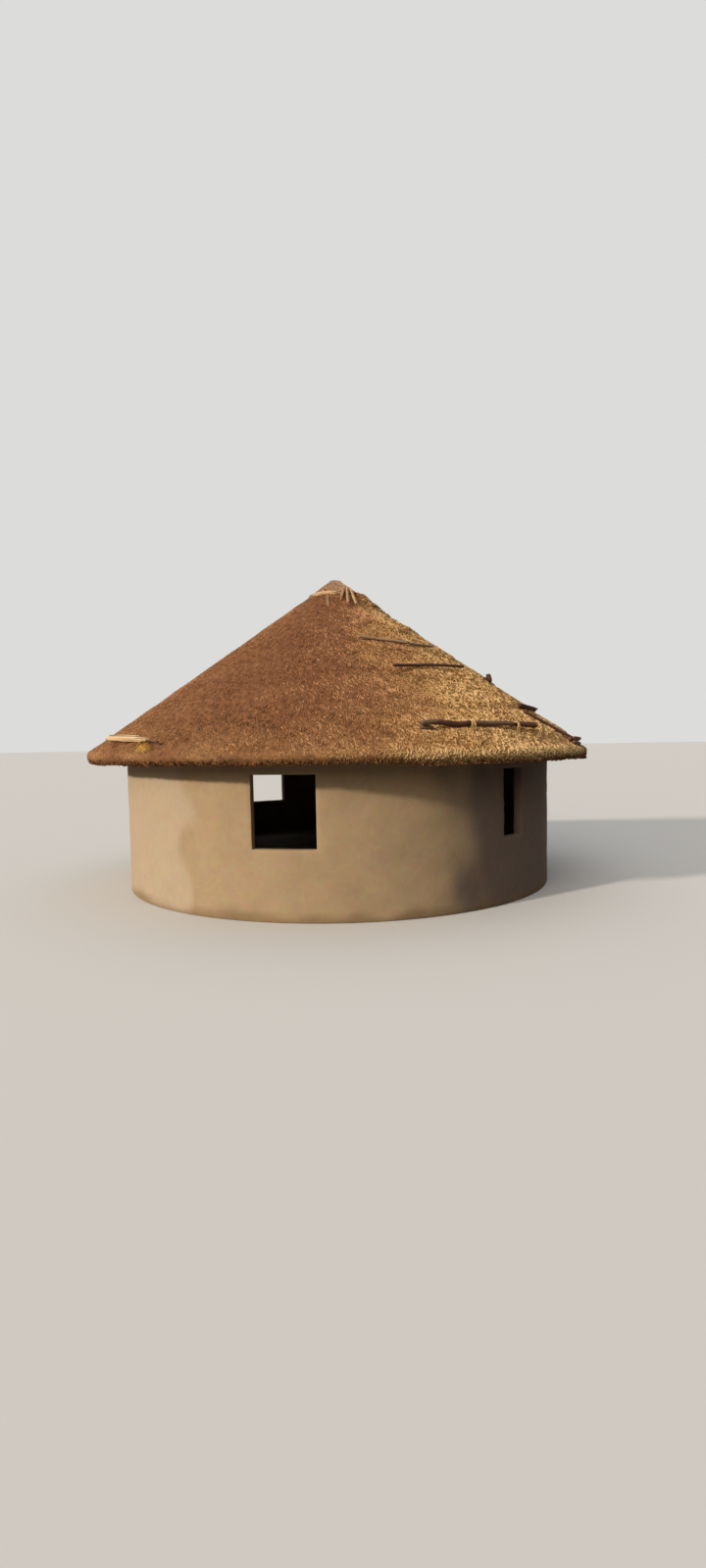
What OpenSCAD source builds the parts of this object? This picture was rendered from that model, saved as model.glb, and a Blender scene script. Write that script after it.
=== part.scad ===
// Rondavel hut: a round plastered house on a sloping site, under a cone of thatch on gum poles.
// Units are millimetres. The origin is on the hut's axis, at the lowest point where the wall meets
// the ground. A bearing is an angle seen from above, anticlockwise from the front window, which
// faces -Y, so bearing 90 faces +X.

/* [Round wall] */
// Diameter of the wall over its outer face
wall_outer_d = 10000; // [8000:50:12000]
// Thickness of the plastered wall
wall_t = 200; // [150:5:300]
// Height of the foundation ring, from the lowest ground up
foundation_h = 450; // [300:10:800]
// Width of the ledge on the foundation ring that carries the floor slab
ledge_w = 100; // [60:5:200]
// Thickness of the floor slab
floor_t = 100; // [75:5:150]
// Height of the head of every opening, where the ring beam lies on the wall
head_z = 2700; // [2200:10:3300]
// Height of the ring beam at its outer face
beam_h = 488; // [300:2:600]

/* [Openings] */
// Width of the front and back windows
wide_window_w = 1220; // [800:10:1500]
// Width of the side window
side_window_w = 650; // [450:10:900]
// Width of the doorway
doorway_w = 950; // [800:10:1100]
// Height of the front and side window sills
sill_z = 1336; // [1000:2:1700]
// Height of the back window's sill
back_sill_z = 1486; // [1000:2:1700]
// Bearing of the side window
side_bearing = 56; // [40:1:70]
// Bearing of the doorway
door_bearing = 138; // [115:1:160]
// Bearing of the back window
back_bearing = 220; // [200:1:240]

/* [Roof poles] */
// Pitch of the roof, in degrees
roof_pitch = 35.2; // [29:0.1:43]
// Diameter of a rafter pole
pole_d = 110; // [80:1:135]
// Diameter of a batten sapling
batten_d = 35; // [25:1:50]
// Distance between battens, up the slope
batten_pitch = 300; // [220:10:400]
// Number of main rafters, which reach the crown block
main_count = 8; // [6:1:9]
// Number of jack rafters between two main rafters
jacks_between = 2; // [1:1:2]
// Radius at which the jack rafters stop
jack_top_r = 900; // [800:10:1400]
// Space between the heads of two main rafters, where they meet the crown block
head_gap = 12; // [5:1:30]
// Height of the crown block
crown_h = 400; // [300:10:500]
// Distance from the wall's outer face to the rafter tails
tail_reach = 350; // [150:10:450]

/* [Thatch] */
// Thickness of the thatch, square to the slope
thatch_t = 280; // [200:5:350]
// Distance from the wall's outer face to the lowest edge of the eave
eave_reach = 740; // [500:10:900]
// Radius of the eave's dressed corner
eave_round_r = 120; // [60:5:140]
// Radius of the round along the lower edge of a dressed eave
eave_under_r = 90; // [20:5:120]
// Number of lanes that the thatch is laid in
lane_count = 12; // [8:1:16]
// Number of lanes of fresh, undressed straw
fresh_lanes = 4; // [2:1:6]
// How many fresh lanes, next to the dressed ones, have their full thickness
full_fresh_lanes = 2; // [1:1:3]
// How much thinner the other fresh lanes still are
fresh_thin = 50; // [0:5:60]
// How much thinner the eave course of the fresh lanes is than the courses over it
eave_course_thin = 50; // [0:5:60]
// Bearing at which the fresh lanes begin
fresh_bearing = 22.5; // [15:0.5:30]
// Height that the butts of a fresh course stand proud of the thatch's top line
course_step = 22; // [10:1:40]
// Depth that a fresh course starts below the thatch's top line
course_dip = 14; // [0:1:30]
// Length of a fresh course, up the slope
course_l = 1040; // [800:10:1400]
// Distance from the wall's outer face to the lowest butts of the fresh courses
first_butt_reach = 400; // [200:10:500]
// Height of the loose roll at the top of the fresh lanes
roll_h = 75; // [40:5:90]
// Distance from the cap's rope to the crest of that roll
roll_back = 90; // [85:5:200]

/* [Crown cap] */
// Radius of the hole that the lanes leave at the top
lane_top_r = 300; // [260:10:350]
// Height of the cap's flat top over the shoulder
cap_h = 170; // [120:5:240]
// Radius of the cap's flat top
cap_top_r = 145; // [100:5:200]
// Radius of the cap's shoulder
cap_shoulder_r = 336; // [320:2:400]
// Height of the shoulder over the thatch, square to the slope
cap_shoulder_t = 30; // [15:1:50]
// Radius of the cap's skirt, which lies over the lanes
cap_skirt_r = 590; // [450:5:620]
// Thickness of the cap's skirt at its edge, square to the slope
cap_edge_t = 14; // [8:1:30]
// Diameter of the rope laid round the edge of the skirt
cap_rope_d = 30; // [15:1:40]
// Diameter of a tail of grass, which hangs from the cap on the fresh side, at its tied head
tail_head_d = 46; // [30:1:60]
// Diameter of a tail at its foot
tail_foot_d = 80; // [50:1:90]

/* [Laid poles] */
// Diameter of the thick foothold poles
thick_pole_d = 90; // [60:5:100]
// Diameter of the thin foothold poles
thin_pole_d = 60; // [40:5:80]
// Diameter of the tied bundle of saplings near the right edge of the roof
tied_bundle_d = 120; // [80:5:130]
// Diameter of the roll of loose straw behind the eave pole
straw_roll_d = 80; // [50:5:110]
// Level distance from the eave's lip in to the eave pole
eave_pole_in = 230; // [180:10:400]
// Level distance from the eave pole in to the roll of straw
straw_roll_back = 100; // [90:5:200]
// Bearing of the cap's middle tail
tail_bearing = 38; // [36:1:42]

/* [Hidden] */
// Fine enough that a chord of the wall lies within half a millimetre of its arc
$fn = 256;
// Facets of a pole, a sapling or a rope
round_fn = 48;
// Sides of a split sapling's section
batten_sides = 8;
// Steps in the round of the eave
eave_steps = 6;
// Clearance where a round or sloping face seats on another
seat = 0.3;
// Amount that a cutter runs past the face it cuts
past = 50;
// Distance from a rafter's tail to the first hoop
first_batten_back = 20;

wall_r = wall_outer_d / 2;
inner_r = wall_r - wall_t;
floor_z = foundation_h + floor_t;
slope = tan(roof_pitch);
up = [sin(roof_pitch), cos(roof_pitch)];
down = [cos(roof_pitch), -sin(roof_pitch)];
lip_r = wall_r + eave_reach;
main_angle = 360 / main_count;
crown_r = (pole_d + head_gap) / 2 / sin(main_angle / 2);
// The crown block's foot is tapered
crown_foot_r = 0.7 * crown_r;
crown_foot_h = crown_h / 5;
// Height of the rafters' undersides at the wall's outer face
bed_z = head_z + beam_h + seat / cos(roof_pitch);

// Heights of the roof's sloping faces at radius r
function rafter_under(r) = bed_z + (wall_r - r) * slope;
function thatch_under(r) = rafter_under(r) + (pole_d + batten_d + 2 * seat) / cos(roof_pitch);
function thatch_top(r) = thatch_under(r) + thatch_t / cos(roof_pitch);
eave_z = thatch_under(lip_r);
// Point in the (radius, height) section that stands a rise above the thatch's top line
function on_thatch(r, rise = 0) = [r, thatch_top(r)] + rise * up;
// Radii at which the fresh courses end: the eave, then each course's butts from the lowest up
fresh_eave_rise = course_step - eave_course_thin;
fresh_eave_r = lip_r + thatch_t * up[0] - (eave_round_r + fresh_eave_rise * slope) * down[0];
first_butt_r = wall_r + first_butt_reach;
course_run = course_l * cos(roof_pitch);
roll_top_r = cap_skirt_r + cap_rope_d + roll_back;
course_count = floor((first_butt_r - roll_top_r) / course_run);
function butt_r(i) = first_butt_r - i * course_run;
// Height that the fresh lanes stand over the thatch's top line at radius r
function course_rise(r, r_high, r_low) = -course_dip
    + (course_step + course_dip) * (r - r_high) / (r_low - r_high);
function fresh_rise(r) = r > first_butt_r
    ? course_rise(r, first_butt_r, fresh_eave_r) - eave_course_thin
    : let (i = floor((first_butt_r - r) / course_run)) course_rise(r, butt_r(i + 1), butt_r(i));

crown_top_z = thatch_under(crown_r);
shoulder = on_thatch(cap_shoulder_r, cap_shoulder_t);
cap_top_z = shoulder[1] + cap_h;
tail_r = wall_r + tail_reach;
batten_run = batten_pitch * cos(roof_pitch);
first_batten_r = tail_r - first_batten_back;
batten_count = floor((first_batten_r - lane_top_r) / batten_run) + 1;
function batten_foot_r(i) = first_batten_r - i * batten_run;
lane_angle = 360 / lane_count;
rope_r = cap_skirt_r + (cap_rope_d / 2 + seat) * down[0];
eave_pole_r = lip_r - eave_pole_in;

// Wall panels: bearing where each starts and ends, and which opening it stands beside
function split(a, b, n) = [for (i = [0 : n - 1]) [a + (b - a) * i / n, a + (b - a) * (i + 1) / n]];
panels = concat(
    split(0, side_bearing, 2),
    split(side_bearing, door_bearing, 3),
    split(door_bearing, back_bearing, 3),
    split(back_bearing, 360, 5)
);

// Block of the round wall between two radii, two heights and two bearings
module arc_block(r0, r1, z0, z1, b0, b1) {
    rotate([0, 0, b0 - 90])
        rotate_extrude(angle = b1 - b0)
            translate([r0, z0])
                square([r1 - r0, z1 - z0]);
}

// Straight-sided cutter for an opening of width w at a bearing
module opening_cutter(bearing, w, z0, z1) {
    rotate([0, 0, bearing])
        translate([-w / 2, -wall_r - past, z0])
            cube([w, wall_t + 4 * past, z1 - z0]);
}

module all_openings() {
    opening_cutter(0, wide_window_w, foundation_h - past, head_z + past);
    opening_cutter(side_bearing, side_window_w, foundation_h - past, head_z + past);
    opening_cutter(door_bearing, doorway_w, foundation_h - past, head_z + past);
    opening_cutter(back_bearing, wide_window_w, foundation_h - past, head_z + past);
}

module foundation_ring() {
    color("#9a8f80")
        rotate_extrude()
            translate([inner_r - ledge_w, 0])
                square([wall_t + ledge_w, foundation_h]);
}

module hardcore_fill() {
    color("#8a7355")
        cylinder(h = foundation_h, r = inner_r - ledge_w - seat);
}

module floor_slab() {
    color("#a39a8c")
        translate([0, 0, foundation_h])
            cylinder(h = floor_t, r = inner_r - seat);
}

module wall_panel(i) {
    color("#c7a583")
        difference() {
            arc_block(inner_r, wall_r, foundation_h, head_z, panels[i][0], panels[i][1]);
            all_openings();
        }
}

// Wall below an opening, from the foundation up to z
module under_opening(bearing, w, z) {
    spread = 2 * asin(w / 2 / inner_r);
    intersection() {
        arc_block(inner_r, wall_r, foundation_h, z, bearing - spread, bearing + spread);
        opening_cutter(bearing, w, foundation_h - past, z + past);
    }
}

module front_window_apron() {
    color("#c7a583")
        under_opening(0, wide_window_w, sill_z);
}

module side_window_apron() {
    color("#c7a583")
        under_opening(side_bearing, side_window_w, sill_z);
}

module back_window_apron() {
    color("#c7a583")
        under_opening(back_bearing, wide_window_w, back_sill_z);
}

module door_threshold() {
    color("#a39a8c")
        under_opening(door_bearing, doorway_w, floor_z);
}

// The beam's top is splayed to the pitch, so that the rafters bed on it
module ring_beam() {
    color("#b3906e")
        rotate_extrude()
            polygon([
                [inner_r, head_z],
                [wall_r, head_z],
                [wall_r, rafter_under(wall_r) - seat / cos(roof_pitch)],
                [inner_r, rafter_under(inner_r) - seat / cos(roof_pitch)]
            ]);
}

// Round pole up the slope, from its tail at radius r0 to radius r1
module slope_pole(bearing, d, r0, r1) {
    foot = [r0, rafter_under(r0)] + d / 2 * up;
    rotate([0, 0, bearing])
        translate([0, -foot[0], foot[1]])
            rotate([roof_pitch - 90, 0, 0])
                cylinder(h = (r0 - r1) / cos(roof_pitch), d = d, $fn = round_fn);
}

module main_rafters() {
    color("#8a6a48")
        difference() {
            for (i = [0 : main_count - 1])
                slope_pole((i + 0.5) * main_angle, pole_d, tail_r, crown_foot_r);
            // Each pole's head is coped to the crown block
            translate([0, 0, rafter_under(crown_r) - pole_d])
                cylinder(h = 4 * pole_d, r = crown_r + seat);
        }
}

module jack_rafters() {
    color("#8a6a48")
        for (i = [0 : main_count - 1])
            for (j = [1 : jacks_between])
                slope_pole((i + 0.5 + j / (jacks_between + 1)) * main_angle,
                    pole_d, tail_r, jack_top_r);
}

module crown_block() {
    color("#6f5235")
        translate([0, 0, crown_top_z - crown_h]) {
            cylinder(h = crown_foot_h, r1 = crown_foot_r, r2 = crown_r);
            translate([0, 0, crown_foot_h])
                cylinder(h = crown_h - crown_foot_h, r = crown_r);
        }
}

// Hoop of split sapling on the rafters' backs: an eight-sided section with a flat on the poles
module batten(i) {
    centre = [batten_foot_r(i), rafter_under(batten_foot_r(i))]
        + (pole_d + seat + batten_d / 2) * up;
    rotate_extrude()
        translate(centre)
            rotate(180 / batten_sides - roof_pitch)
                circle(d = batten_d / cos(180 / batten_sides), $fn = batten_sides);
}

module battens(first, last) {
    color("#a58255")
        for (i = [first : last])
            batten(i);
}

// Last hoops of the eave battens and of the lower ones
eave_last = 1;
lower_last = floor(batten_count / 2);

module eave_battens() {
    battens(0, eave_last);
}

module lower_battens() {
    battens(eave_last + 1, lower_last);
}

module upper_battens() {
    battens(lower_last + 1, batten_count - 1);
}

// Centre of the eave's rounded corner, for a surface that stands proud by a rise
function eave_centre(rise) = [lip_r, eave_z] + (thatch_t + rise - eave_round_r) * up
    - (eave_round_r + rise * slope) * down;

// Section of the thatch, from the eave's lip up to the top of the lanes. A dressed lip is round
// below too, and a fresh one is sharp
module thatch_section(rise, surface, dressed) {
    lip = [lip_r, eave_z] - rise * slope * down;
    lip_centre = lip + eave_under_r * (up - down);
    polygon(concat(
        [[lane_top_r, thatch_under(lane_top_r)]],
        dressed ? [for (i = [0 : eave_steps]) lip_centre
            + eave_under_r * (sin(90 * i / eave_steps) * down - cos(90 * i / eave_steps) * up)] : [lip],
        [for (i = [0 : eave_steps]) eave_centre(rise)
            + eave_round_r * (cos(90 * i / eave_steps) * down + sin(90 * i / eave_steps) * up)],
        surface
    ));
}

// Fresh courses of a lane that is thinner by thin, from the eave up: each one's butts stand proud
// of the next one below
function fresh_surface(thin) = [for (i = [0 : course_count]) each [
    on_thatch(butt_r(i), -course_dip - thin - (i == 0 ? eave_course_thin : 0)),
    on_thatch(butt_r(i), course_step - thin)]];
// Top end of a lane, and of a fresh lane that ends in a loose roll below the cap
lane_end = [on_thatch(roll_top_r - roll_h), on_thatch(lane_top_r)];
function rolled_end(thin) = concat([on_thatch(roll_top_r, roll_h - thin)], lane_end);

module thatch_lane(i) {
    fresh = i < fresh_lanes;
    thin = i < full_fresh_lanes ? 0 : fresh_thin;
    // The cap's tails hang over the first fresh lane, which has no roll
    top_end = i == 0 ? lane_end : rolled_end(thin);
    color(fresh ? "#c79a5a" : "#8f6440")
        rotate([0, 0, fresh_bearing + i * lane_angle - 90])
            rotate_extrude(angle = lane_angle)
                if (!fresh) thatch_section(0, [on_thatch(lane_top_r)], true);
                else thatch_section(
                    fresh_eave_rise - thin, concat(fresh_surface(thin), top_end), false);
}

// Tied bundle over the crown block, whose skirt lies on the lanes
module crown_cap() {
    plug_r = lane_top_r - seat;
    color("#8a6038")
        rotate_extrude()
            polygon([
                [0, crown_top_z],
                [plug_r, crown_top_z],
                on_thatch(plug_r, seat),
                on_thatch(cap_skirt_r, seat),
                on_thatch(cap_skirt_r, seat + cap_edge_t),
                shoulder,
                [cap_top_r, cap_top_z],
                [0, cap_top_z]
            ]);
}

module cap_rope() {
    color("#c9a877")
        rotate_extrude()
            translate(on_thatch(cap_skirt_r, seat + cap_rope_d / 2) + (cap_rope_d / 2 + seat) * down)
                circle(d = cap_rope_d, $fn = round_fn);
}

// Pole or bundle on the thatch. It bears on one point, given by its bearing, its radius and how
// proud it stands of the thatch, and runs back and ahead from there in the plane of the slope;
// dip is how far its far end turns down from level
module laid(bearing, r, rise, dip, back, ahead, d_head, d_foot) {
    d = d_head + (d_foot - d_head) * back / (back + ahead);
    centre = on_thatch(r, rise + seat + d / 2);
    rotate([0, 0, bearing])
        translate([0, -centre[0], centre[1]])
            rotate([roof_pitch, 0, 0])
                rotate([0, 0, -dip])
                    translate([-back, 0, 0])
                        rotate([0, 90, 0])
                            cylinder(h = back + ahead, d1 = d_head, d2 = d_foot, $fn = round_fn);
}

// Tails over the rope: distance along the rope from the middle one, dip, and the lengths behind
// and ahead of the rope
tails = [[-89.4, 112, 210, 500], [0, 110, 210, 780], [105.2, 113, 210, 840]];

module cap_tails() {
    color("#c2a06a")
        for (t = tails)
            laid(tail_bearing + t[0] / rope_r * 180 / PI, rope_r, seat + cap_rope_d,
                t[1], t[2], t[3], tail_head_d, tail_foot_d);
}

// Poles on the courses: bearing, radius, dip, the lengths behind and ahead of the point where
// each bears, and its diameter
footholds = [
    [34, butt_r(3) - 230.5, 9.5, 575, 575, thin_pole_d],
    [54.2, butt_r(3) - 130.5, 0, 370, 370, thin_pole_d],
    [44.7, butt_r(2) - 205, -2.7, 980, 980, thin_pole_d],
    [41.6, butt_r(0) - 130, 1.5, 1360, 1360, thick_pole_d],
    [72.5, butt_r(2) + 100, 38, 100, 100, thick_pole_d],
    [70.2, butt_r(1) + 185, 7, 460, 460, tied_bundle_d],
    [68, butt_r(0), 55, 790, 440, thin_pole_d],
    [76, lip_r - 70, 8, 150, 150, thick_pole_d]
];

module foothold_poles() {
    color("#5d452f")
        for (p = footholds)
            laid(p[0], p[1], fresh_rise(p[1]), p[2], p[3], p[4], p[5], p[5]);
}

module eave_pole() {
    color("#8f6f48")
        laid(-36.3, eave_pole_r, 0, 2.7, 1330, 1330, thin_pole_d, thin_pole_d);
}

// Loose straw behind the eave pole
module eave_straw() {
    color("#d0aa62")
        laid(-40, eave_pole_r - straw_roll_back, 0, 2.7, 850, 850, straw_roll_d, straw_roll_d);
}

foundation_ring();
hardcore_fill();
floor_slab();
wall_panel(0);  // wall_panel_01
wall_panel(1);  // wall_panel_02
wall_panel(2);  // wall_panel_03
wall_panel(3);  // wall_panel_04
wall_panel(4);  // wall_panel_05
wall_panel(5);  // wall_panel_06
wall_panel(6);  // wall_panel_07
wall_panel(7);  // wall_panel_08
wall_panel(8);  // wall_panel_09
wall_panel(9);  // wall_panel_10
wall_panel(10);  // wall_panel_11
wall_panel(11);  // wall_panel_12
wall_panel(12);  // wall_panel_13
front_window_apron();
side_window_apron();
back_window_apron();
door_threshold();
ring_beam();
main_rafters();
jack_rafters();
crown_block();
eave_battens();
lower_battens();
upper_battens();
thatch_lane(0);  // thatch_lane_01
thatch_lane(1);  // thatch_lane_02
thatch_lane(2);  // thatch_lane_03
thatch_lane(3);  // thatch_lane_04
thatch_lane(4);  // thatch_lane_05
thatch_lane(5);  // thatch_lane_06
thatch_lane(6);  // thatch_lane_07
thatch_lane(7);  // thatch_lane_08
thatch_lane(8);  // thatch_lane_09
thatch_lane(9);  // thatch_lane_10
thatch_lane(10);  // thatch_lane_11
thatch_lane(11);  // thatch_lane_12
crown_cap();
cap_rope();
cap_tails();
foothold_poles();
eave_pole();
eave_straw();
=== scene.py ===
import math

import bpy
import numpy as np
from bpy.props import FloatProperty, FloatVectorProperty, IntProperty, PointerProperty
from mathutils import Matrix, Vector


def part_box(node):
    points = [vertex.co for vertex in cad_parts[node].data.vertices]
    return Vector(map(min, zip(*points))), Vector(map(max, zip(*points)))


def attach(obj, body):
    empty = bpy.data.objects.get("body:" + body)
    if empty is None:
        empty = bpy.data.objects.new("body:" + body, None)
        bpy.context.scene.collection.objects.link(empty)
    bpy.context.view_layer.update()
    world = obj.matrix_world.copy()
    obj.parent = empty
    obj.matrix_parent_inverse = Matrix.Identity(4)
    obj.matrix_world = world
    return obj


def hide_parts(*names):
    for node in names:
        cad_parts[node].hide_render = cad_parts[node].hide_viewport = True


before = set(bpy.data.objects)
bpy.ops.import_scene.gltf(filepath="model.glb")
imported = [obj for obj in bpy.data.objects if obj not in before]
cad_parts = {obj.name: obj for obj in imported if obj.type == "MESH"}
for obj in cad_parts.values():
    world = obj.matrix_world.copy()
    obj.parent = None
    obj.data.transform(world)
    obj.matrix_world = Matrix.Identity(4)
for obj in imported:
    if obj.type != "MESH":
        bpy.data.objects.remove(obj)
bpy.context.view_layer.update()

bl_info = {
    "name": "Rondavel hut",
    "version": (1, 0, 0),
    "blender": (4, 5, 0),
    "location": "3D View > Sidebar > Hut",
    "description": "Dresses a round hut: floated plaster, laid thatch, poles and grass rope",
    "category": "Add Mesh",
}

BODY = "root"
LANES = sorted(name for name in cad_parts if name.startswith("thatch_lane"))
PANELS = sorted(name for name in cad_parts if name.startswith("wall_panel"))
FRESH_LANES = LANES[:4]


def corners(node):
    """The corners of a node's mesh as an (n, 3) array."""
    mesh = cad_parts[node].data
    found = np.empty(len(mesh.vertices) * 3)
    mesh.vertices.foreach_get("co", found)
    return found.reshape(-1, 3)


def reach(node):
    """Least and greatest distance of a node's corners from the hut's axis."""
    r = np.hypot(*corners(node)[:, :2].T)
    return float(r.min()), float(r.max())


def across(node, bearing):
    """How wide a node is, square to a bearing in degrees."""
    b = math.radians(bearing)
    x, y, _ = corners(node).T
    return float(np.ptp(x * math.cos(b) + y * math.sin(b)))


# The wall, in metres, from the frame
INNER_R, WALL_R = reach("wall_panel_07")
LEDGE_R = reach("foundation_ring")[0]
FOOT_TOP_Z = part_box("foundation_ring")[1].z
HEAD_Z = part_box("wall_panel_01")[1].z

# Each opening's bearing, in degrees, and the node that its sill or threshold is the top of
OPENINGS = (
    (0, "front_window_apron"),
    (56, "side_window_apron"),
    (138, "door_threshold"),
    (220, "back_window_apron"),
)

# The roof: its pitch, its bearings in degrees, and its section from the frame
PITCH = math.radians(35.2)
SLOPE = math.tan(PITCH)
UP = np.array([math.sin(PITCH), math.cos(PITCH)])
DOWN = np.array([math.cos(PITCH), -math.sin(PITCH)])
FRESH_BEARING = 22.5
LANE_ANGLE = 360 / len(LANES)
FRESH_ANGLE = LANE_ANGLE * len(FRESH_LANES)
LANE_TOP_R = reach(LANES[-1])[0]
APEX_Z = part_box(LANES[-1])[1].z + SLOPE * LANE_TOP_R

# The thatch, in metres: its thickness, its round eave and the lower lip of its cut face
THATCH_T = 0.28
EAVE_ROUND = 0.12
LIP_R = 5.74
LIP_Z = APEX_Z - SLOPE * LIP_R - THATCH_T / math.cos(PITCH)
LIP_ROUND = 0.09

# The fresh courses over the eave course: how many there are, where the first butts lie, a course's
# length down the slope, how far its butts stand proud and its head lies low, and how far the straws
# hang over the butts below them. The thatch is thinner by so much at the eave, on the later lanes,
# and on the lower part of those
COURSES = 5
FIRST_BUTT_R = WALL_R + 0.4
COURSE_L = 1.04
COURSE_RUN = COURSE_L * math.cos(PITCH)
COURSE_STEP = 0.022
COURSE_DIP = 0.014
BUTT_HANG = 0.26
EAVE_HANG = 0.38
EAVE_THIN = 0.05
LANE_THIN = 0.05
LOWER_THIN = 0.03

# The skirt of the cap, and the loose roll of straw under it
CAP_SKIRT_R = reach("crown_cap")[1]
ROLL_R = 0.71
ROLL_H = 0.075

# The photograph's view: the camera's bearing in degrees, its distance and height in metres, how far
# it is turned, dipped and rolled in degrees, and its lens in millimetres
VIEW_BEARING = 11.8
VIEW_DISTANCE = 17.57
VIEW_HEIGHT = 3.27
VIEW_TURN = -1.15
VIEW_DIP = 3.42
VIEW_ROLL = -1.0
VIEW_LENS = 16.2


def linear(hex_colour):
    """An sRGB hex colour as linear red, green and blue."""
    parts = [int(hex_colour[i:i + 2], 16) / 255 for i in (1, 3, 5)]
    return tuple(c / 12.92 if c <= 0.04045 else ((c + 0.055) / 1.055) ** 2.4 for c in parts)


def tint(name, description, hex_colour):
    """A colour that a user can change."""
    return FloatVectorProperty(
        name=name, description=description, subtype="COLOR", size=3, min=0, max=1, default=linear(hex_colour)
    )


def length(name, description, metres):
    """A length that a user can change."""
    return FloatProperty(name=name, description=description, unit="LENGTH", min=0, default=metres)


class HutSizes(bpy.types.PropertyGroup):
    """Sizes of what the plasterer and the thatcher leave on the hut."""

    plaster_wave: length("Plaster wave", "How far the plaster wanders from a true circle", 0.005)
    plaster_cell: length("Plaster cell", "Spacing of the points that shape the plaster", 0.1)
    arris_round: length("Arris round", "Radius rubbed on the edges of the openings", 0.014)
    arris_chip: length("Arris chips", "Depth of the chips along the edges of the openings", 0.012)
    butt_row: length("Butt rows", "Distance between rows of straw butts, down the slope", 0.055)
    butt_gap: length("Butt spacing", "Distance between straw butts, along the course", 0.033)
    stroke_row: length("Stroke rows", "Distance between rows of proud straws, down the slope", 0.085)
    stroke_gap: length("Stroke spacing", "Distance between proud straws, along the course", 0.05)
    dressed_h: length("Dressed relief", "Height that dressed butts stand proud", 0.007)
    fresh_h: length("Fresh relief", "Height that fresh straws stand proud", 0.015)
    seed: IntProperty(name="Seed", description="Start of every random draw", default=7)


class HutColours(bpy.types.PropertyGroup):
    """Colours of the hut's materials."""

    plaster: tint("Plaster", "Cured cement plaster made with the site's own sand", "#b49874")
    plaster_pale: tint("Pale plaster", "Where the plaster has dried out most", "#c0a98c")
    # Painted shade for the side of the wall that the key lamp leaves in shade
    plaster_painted_shade: tint("Shady plaster", "On the side that the sun is slow to dry", "#7a6759")
    plaster_damp: tint("Damp plaster", "Foot of the wall, splashed and damp", "#8c6f4d")
    # The gap colours are painted shade: the dark end of each straw ramp stands for the shade between the
    # straws
    dressed_gap_shade: tint("Dressed gaps", "Between the butts of dressed thatch", "#3b2115")
    dressed_mid: tint("Dressed straw", "Dressed thatch, browned by the weather", "#956039")
    dressed_light: tint("Dressed lights", "Straws that catch the light", "#cf9e70")
    fresh_gap_shade: tint("Fresh gaps", "Between the straws of fresh thatch", "#785630")
    fresh_mid: tint("Fresh straw", "Fresh golden straw", "#bd9158")
    fresh_light: tint("Fresh lights", "Pale stems of fresh straw", "#dbb982")
    cap: tint("Cap grass", "Combed grass of the cap", "#ad8868")
    rope: tint("Grass rope", "Twisted grass, bleached by the sun", "#cdae88")
    tail: tint("Tails", "Loose tails of cap grass", "#b08c66")
    tuft: tint("Young straw", "Straw cut young, yellow with some green left in it", "#c2a058")
    gum_pole: tint("Gum pole", "Debarked gum pole, seasoned", "#8a6a48")
    sapling: tint("Sapling", "Split sapling hoops", "#a58255")
    weathered: tint("Weathered pole", "Old pole, dark with weather", "#5c3b2b")
    peeled: tint("Peeled pole", "Freshly peeled side of a pole", "#b39674")
    screed: tint("Screed", "Steel-trowelled cement screed", "#9d9383")
    hardcore: tint("Hardcore", "Rammed stone and earth", "#85705a")
    floor: tint("Studio floor", "Plain floor as the camera sees it", "#d9d6d0")


def sizes():
    """The sizes that a user can change."""
    return bpy.context.scene.hut_sizes


def colours():
    """The colours that a user can change."""
    return bpy.context.scene.hut_colours


def waves(points, wavelength, seed, count=9):
    """Smooth noise of about -1 to 1 at (n, k) points, as a sum of sines in random directions. Each
    use has a seed of its own, so that no two patterns match."""
    draw = np.random.default_rng(seed)
    total = np.zeros(len(points))
    for _ in range(count):
        turn = draw.normal(size=points.shape[1])
        turn *= 2 * math.pi / wavelength * draw.uniform(0.6, 1.6) / np.linalg.norm(turn)
        total += np.sin(points @ turn + draw.uniform(0, 2 * math.pi))
    return total * 1.3 / math.sqrt(count)


def smooth(x, low, high):
    """0 below low, 1 above high and an even S between them."""
    x = np.clip((x - low) / (high - low), 0, 1)
    return x * x * (3 - 2 * x)


def placed(r, z, bearing):
    """Points at radius r, height z and a bearing in degrees."""
    b = np.radians(bearing)
    return np.stack([r * np.sin(b), -r * np.cos(b), z + 0 * b], -1)


def swept(pairs, bearing):
    """(radial, vertical) pairs, taken into space at a bearing in degrees."""
    return placed(pairs[..., 0], pairs[..., 1], bearing)


def bearing_of(point):
    """The bearing of one point, in degrees."""
    return math.degrees(math.atan2(point[0], -point[1]))


def between(start, end, share):
    """The point at a share of the way from start to end."""
    return start + (end - start) * share


def unit(vectors):
    """The same directions, each one unit long."""
    return vectors / np.linalg.norm(vectors, axis=-1, keepdims=True)


def axes(start, end):
    """Unit vectors from start to end, level across that, and square to both."""
    ahead = unit(end - start)
    side = unit(np.cross(ahead, [0, 0, 1.0]))
    return ahead, side, np.cross(side, ahead)


def drawn(draw, n, *ranges):
    """n rows of random numbers, with a column for each (least, greatest) pair."""
    return np.stack([draw.uniform(*each, n) for each in ranges], -1)


def tinted(tone, age):
    """Tints of a tone and an age, each one value or one for each straw."""
    return np.stack(np.broadcast_arrays(tone, age, 0.0), -1)


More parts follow.
